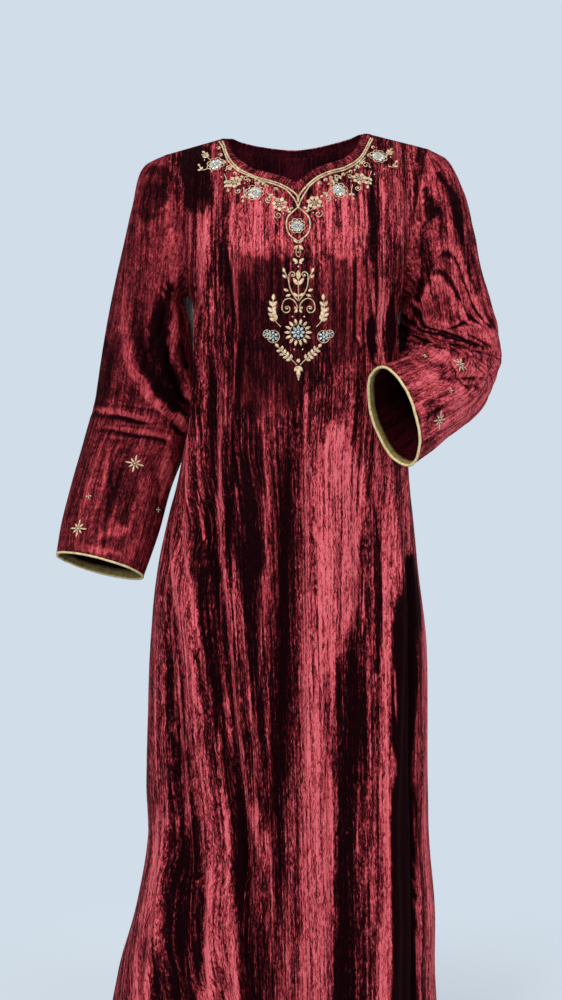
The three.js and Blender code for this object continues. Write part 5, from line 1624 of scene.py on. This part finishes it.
for side_name, side in both_sides():
    scroll = Stitches()
    inner = curl((8.5, -238), 5.2, 90, -1, 1.1)
    scroll.cord(chest.line(mirrored([(0.5, -277), (7, -268), (13, -255)] + inner, side), 0.9), 0.7)
    scroll.cord(chest.line(mirrored([(13.5, -252), (16, -242), (20, -234)], side), 0.9), 0.55, 2.4)
    for x, z, turn in ((20, -235, 0.3), (17, -243, 0.9), (14, -262, 1.2), (11, -267, 1.9)):
        scroll.leaf(chest_place(x, z, side), (0, 0), side * turn, 7, 2.6)
    scroll.bead(chest_place(8.5, -238, side), (0, 0), 1.2)
    scroll.piece(f"stitched_upper_curl_{side_name}", "gold_thread", f"upper_curl_{side_name}")

    heart = Stitches()
    inner = curl((17, -288), 7.5, 75, 1, 1.15)
    heart.cord(chest.line(mirrored([(1, -287), (5, -278), (13, -273), (21, -276)] + inner, side), 0.9), 0.75)
    heart.bead(chest_place(16.5, -288, side), (0, 0), 1.5)
    heart.bead(chest_place(8.5, -300, side), (0, 0), 1.3)
    heart.leaf(chest_place(1.2, -290, side), (0, 0), side * 0.8, 6, 2.6)
    heart.leaf(chest_place(1.2, -290, side), (0, 0), side * 2.3, 5, 2.4)
    heart.piece(f"stitched_heart_curl_{side_name}", "gold_thread", f"heart_curl_{side_name}")

    branch = Stitches()
    spray(branch, chest, mirrored([(26, -315), (33, -307), (38, -294), (37, -276)], side), 8.5, 3.2, 4, 0.6)
    branch.piece(f"stitched_leaf_branch_{side_name}", "gold_thread", f"leaf_branch_{side_name}")

    stones = Stitches()
    x, z = mirrored([(37, -329)], side)[0]
    cluster(stones, chest.frame(x, z), 9.5)
    cluster(stones, chest.frame(x + side * 9, z + 4), 6)
    stones.piece(f"stitched_stone_cluster_{side_name}", "rhinestones", f"stone_cluster_{side_name}")

    arc = Stitches()
    spray(arc, chest, mirrored([(2, -371), (10, -363), (20, -355), (29, -345)], side), 6.5, 2.8, 4, 0.9)
    arc.bead(chest_place(6, -348, side), (0, 0), 1.2)
    arc.piece(f"stitched_lower_arc_{side_name}", "gold_thread", f"lower_arc_{side_name}")

flower = Stitches()
medallion(flower, chest.frame(0.5, -323), 19)
flower.piece("stitched_medallion_flower", "rhinestones", "medallion_flower")

drop = Stitches()
for x, z, turn, length in ((0, -374, math.pi, 15), (-1, -372, 2.4, 9), (1, -372, -2.4, 9), (0, -368, 0, 6)):
    drop.leaf(chest_place(x, z), (0, 0), turn, length, 3.6)
drop.bead(chest_place(0, -392), (0, 0), 1.2)
drop.piece("stitched_pendant_leaf", "gold_thread", "pendant_leaf")

# Stars and single stones on the sleeves.
SLEEVE_STARS = {
    "right": {"star_right_upper": (-249, -513), "star_right_lower": (-332, -612)},
    "left": {"star_left_upper": (244, -366), "star_left_lower": (207, -452)},
}
SLEEVE_STONES = {"right": [(-318, -563), (-213, -584)], "left": [(188, -356), (226, -408)]}
for side_name, stars in SLEEVE_STARS.items():
    cloth = Cloth(sleeve_pieces[side_name])
    for name, place in stars.items():
        arms = Stitches()
        star(arms, cloth.frame(*place), 13)
        arms.piece(f"stitched_{name}", "gold_thread", name)
    dots = Stitches()
    for place in SLEEVE_STONES[side_name]:
        reach = cloth.frame(*place)
        dots.stone(reach, (0, 0), 0, 3, 3, 1.2)
        for turn in (0, math.pi / 2, math.pi, -math.pi / 2):
            dots.leaf(reach, 1.5 * heading(turn), turn, 2.6, 1.2, 0.6)
    dots.piece(f"sleeve_stones_{side_name}", "rhinestones")


# ---------------------------------------------------------------- stage, light and camera

LIGHTS = [
    {"name": "key_light", "place": (-1.7, -2.6, 1.0), "target": (0, 0, -0.5), "size": 1.5, "power": 70},
    {"name": "fill_light", "place": (1.9, -2.2, 0.4), "target": (0, 0, -0.6), "size": 1.6, "power": 32},
    {"name": "back_light", "place": (0.4, 2.8, 0.6), "target": (0, 0, -0.6), "size": 1.8, "power": 45},
]
for setting in LIGHTS:
    light = bpy.data.lights.new(setting["name"], "AREA")
    light.size = setting["size"]
    light.energy = setting["power"]
    light_object = bpy.data.objects.new(setting["name"], light)
    light_object.location = setting["place"]
    ahead = Vector(setting["target"]) - Vector(setting["place"])
    light_object.rotation_euler = ahead.to_track_quat("-Z", "Y").to_euler()
    bpy.context.scene.collection.objects.link(light_object)

# A pale disc of floor under the dress, which fades out into the backdrop. In metres.
FLOOR = {"z": -1.45, "radius": 1.1, "fade_from": 0.35, "alpha": 0.9, "sides": 64}


def studio_floor():
    points = []
    for t in 2 * math.pi * np.arange(FLOOR["sides"]) / FLOOR["sides"]:
        x, y = FLOOR["radius"] * math.cos(t), FLOOR["radius"] * math.sin(t)
        points.append((x / MM, y / MM, FLOOR["z"] / MM))
    s = Shader("studio_floor")
    place = s.node("ShaderNodeTexCoord").outputs["Object"]
    flat = s.node("ShaderNodeVectorMath", {0: place, 1: (1, 1, 0)}, operation="MULTIPLY").outputs[0]
    length = s.node("ShaderNodeVectorMath", {0: flat}, operation="LENGTH").outputs["Value"]
    fade = s.node("ShaderNodeMapRange", {"Value": length, "From Min": FLOOR["fade_from"],
                                         "From Max": FLOOR["radius"], "To Min": FLOOR["alpha"],
                                         "To Max": 0.0}).outputs[0]
    s.surface(Base_Color=srgb(226, 232, 238), Roughness=0.9, Specular_IOR_Level=0.1, Alpha=fade)
    return new_object("floor", points, [list(range(FLOOR["sides"]))], [s.material], smooth=False)


studio_floor()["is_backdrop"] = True

AMBIENT = 0.6       # the room's light on the dress, as a share of the backdrop's brightness
world = bpy.data.worlds.new("studio")
bpy.context.scene.world = world
world.use_nodes = True
background = world.node_tree.nodes["Background"]
background.inputs["Color"].default_value = srgb(209, 221, 232)
paths = world.node_tree.nodes.new("ShaderNodeLightPath")
strength = world.node_tree.nodes.new("ShaderNodeMapRange")
strength.inputs["To Min"].default_value = AMBIENT
strength.inputs["To Max"].default_value = 1.0
world.node_tree.links.new(paths.outputs["Is Camera Ray"], strength.inputs["Value"])
world.node_tree.links.new(strength.outputs[0], background.inputs["Strength"])

CAMERA = {"place": (-0.0248, -2.4, -0.569), "sensor_height": 36, "lens": 55.7}
camera = bpy.data.cameras.new("camera")
camera.sensor_fit = "VERTICAL"
camera.sensor_height = CAMERA["sensor_height"]
camera.lens = CAMERA["lens"]
camera_object = bpy.data.objects.new("camera", camera)
camera_object.location = CAMERA["place"]
camera_object.rotation_euler = (math.pi / 2, 0, 0)
bpy.context.scene.collection.objects.link(camera_object)
bpy.context.scene.camera = camera_object
bpy.context.scene.view_settings.view_transform = "Standard"

{"cad": [list(corner) for corner in cad_box], "visual": [list(corner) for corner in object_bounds()]}
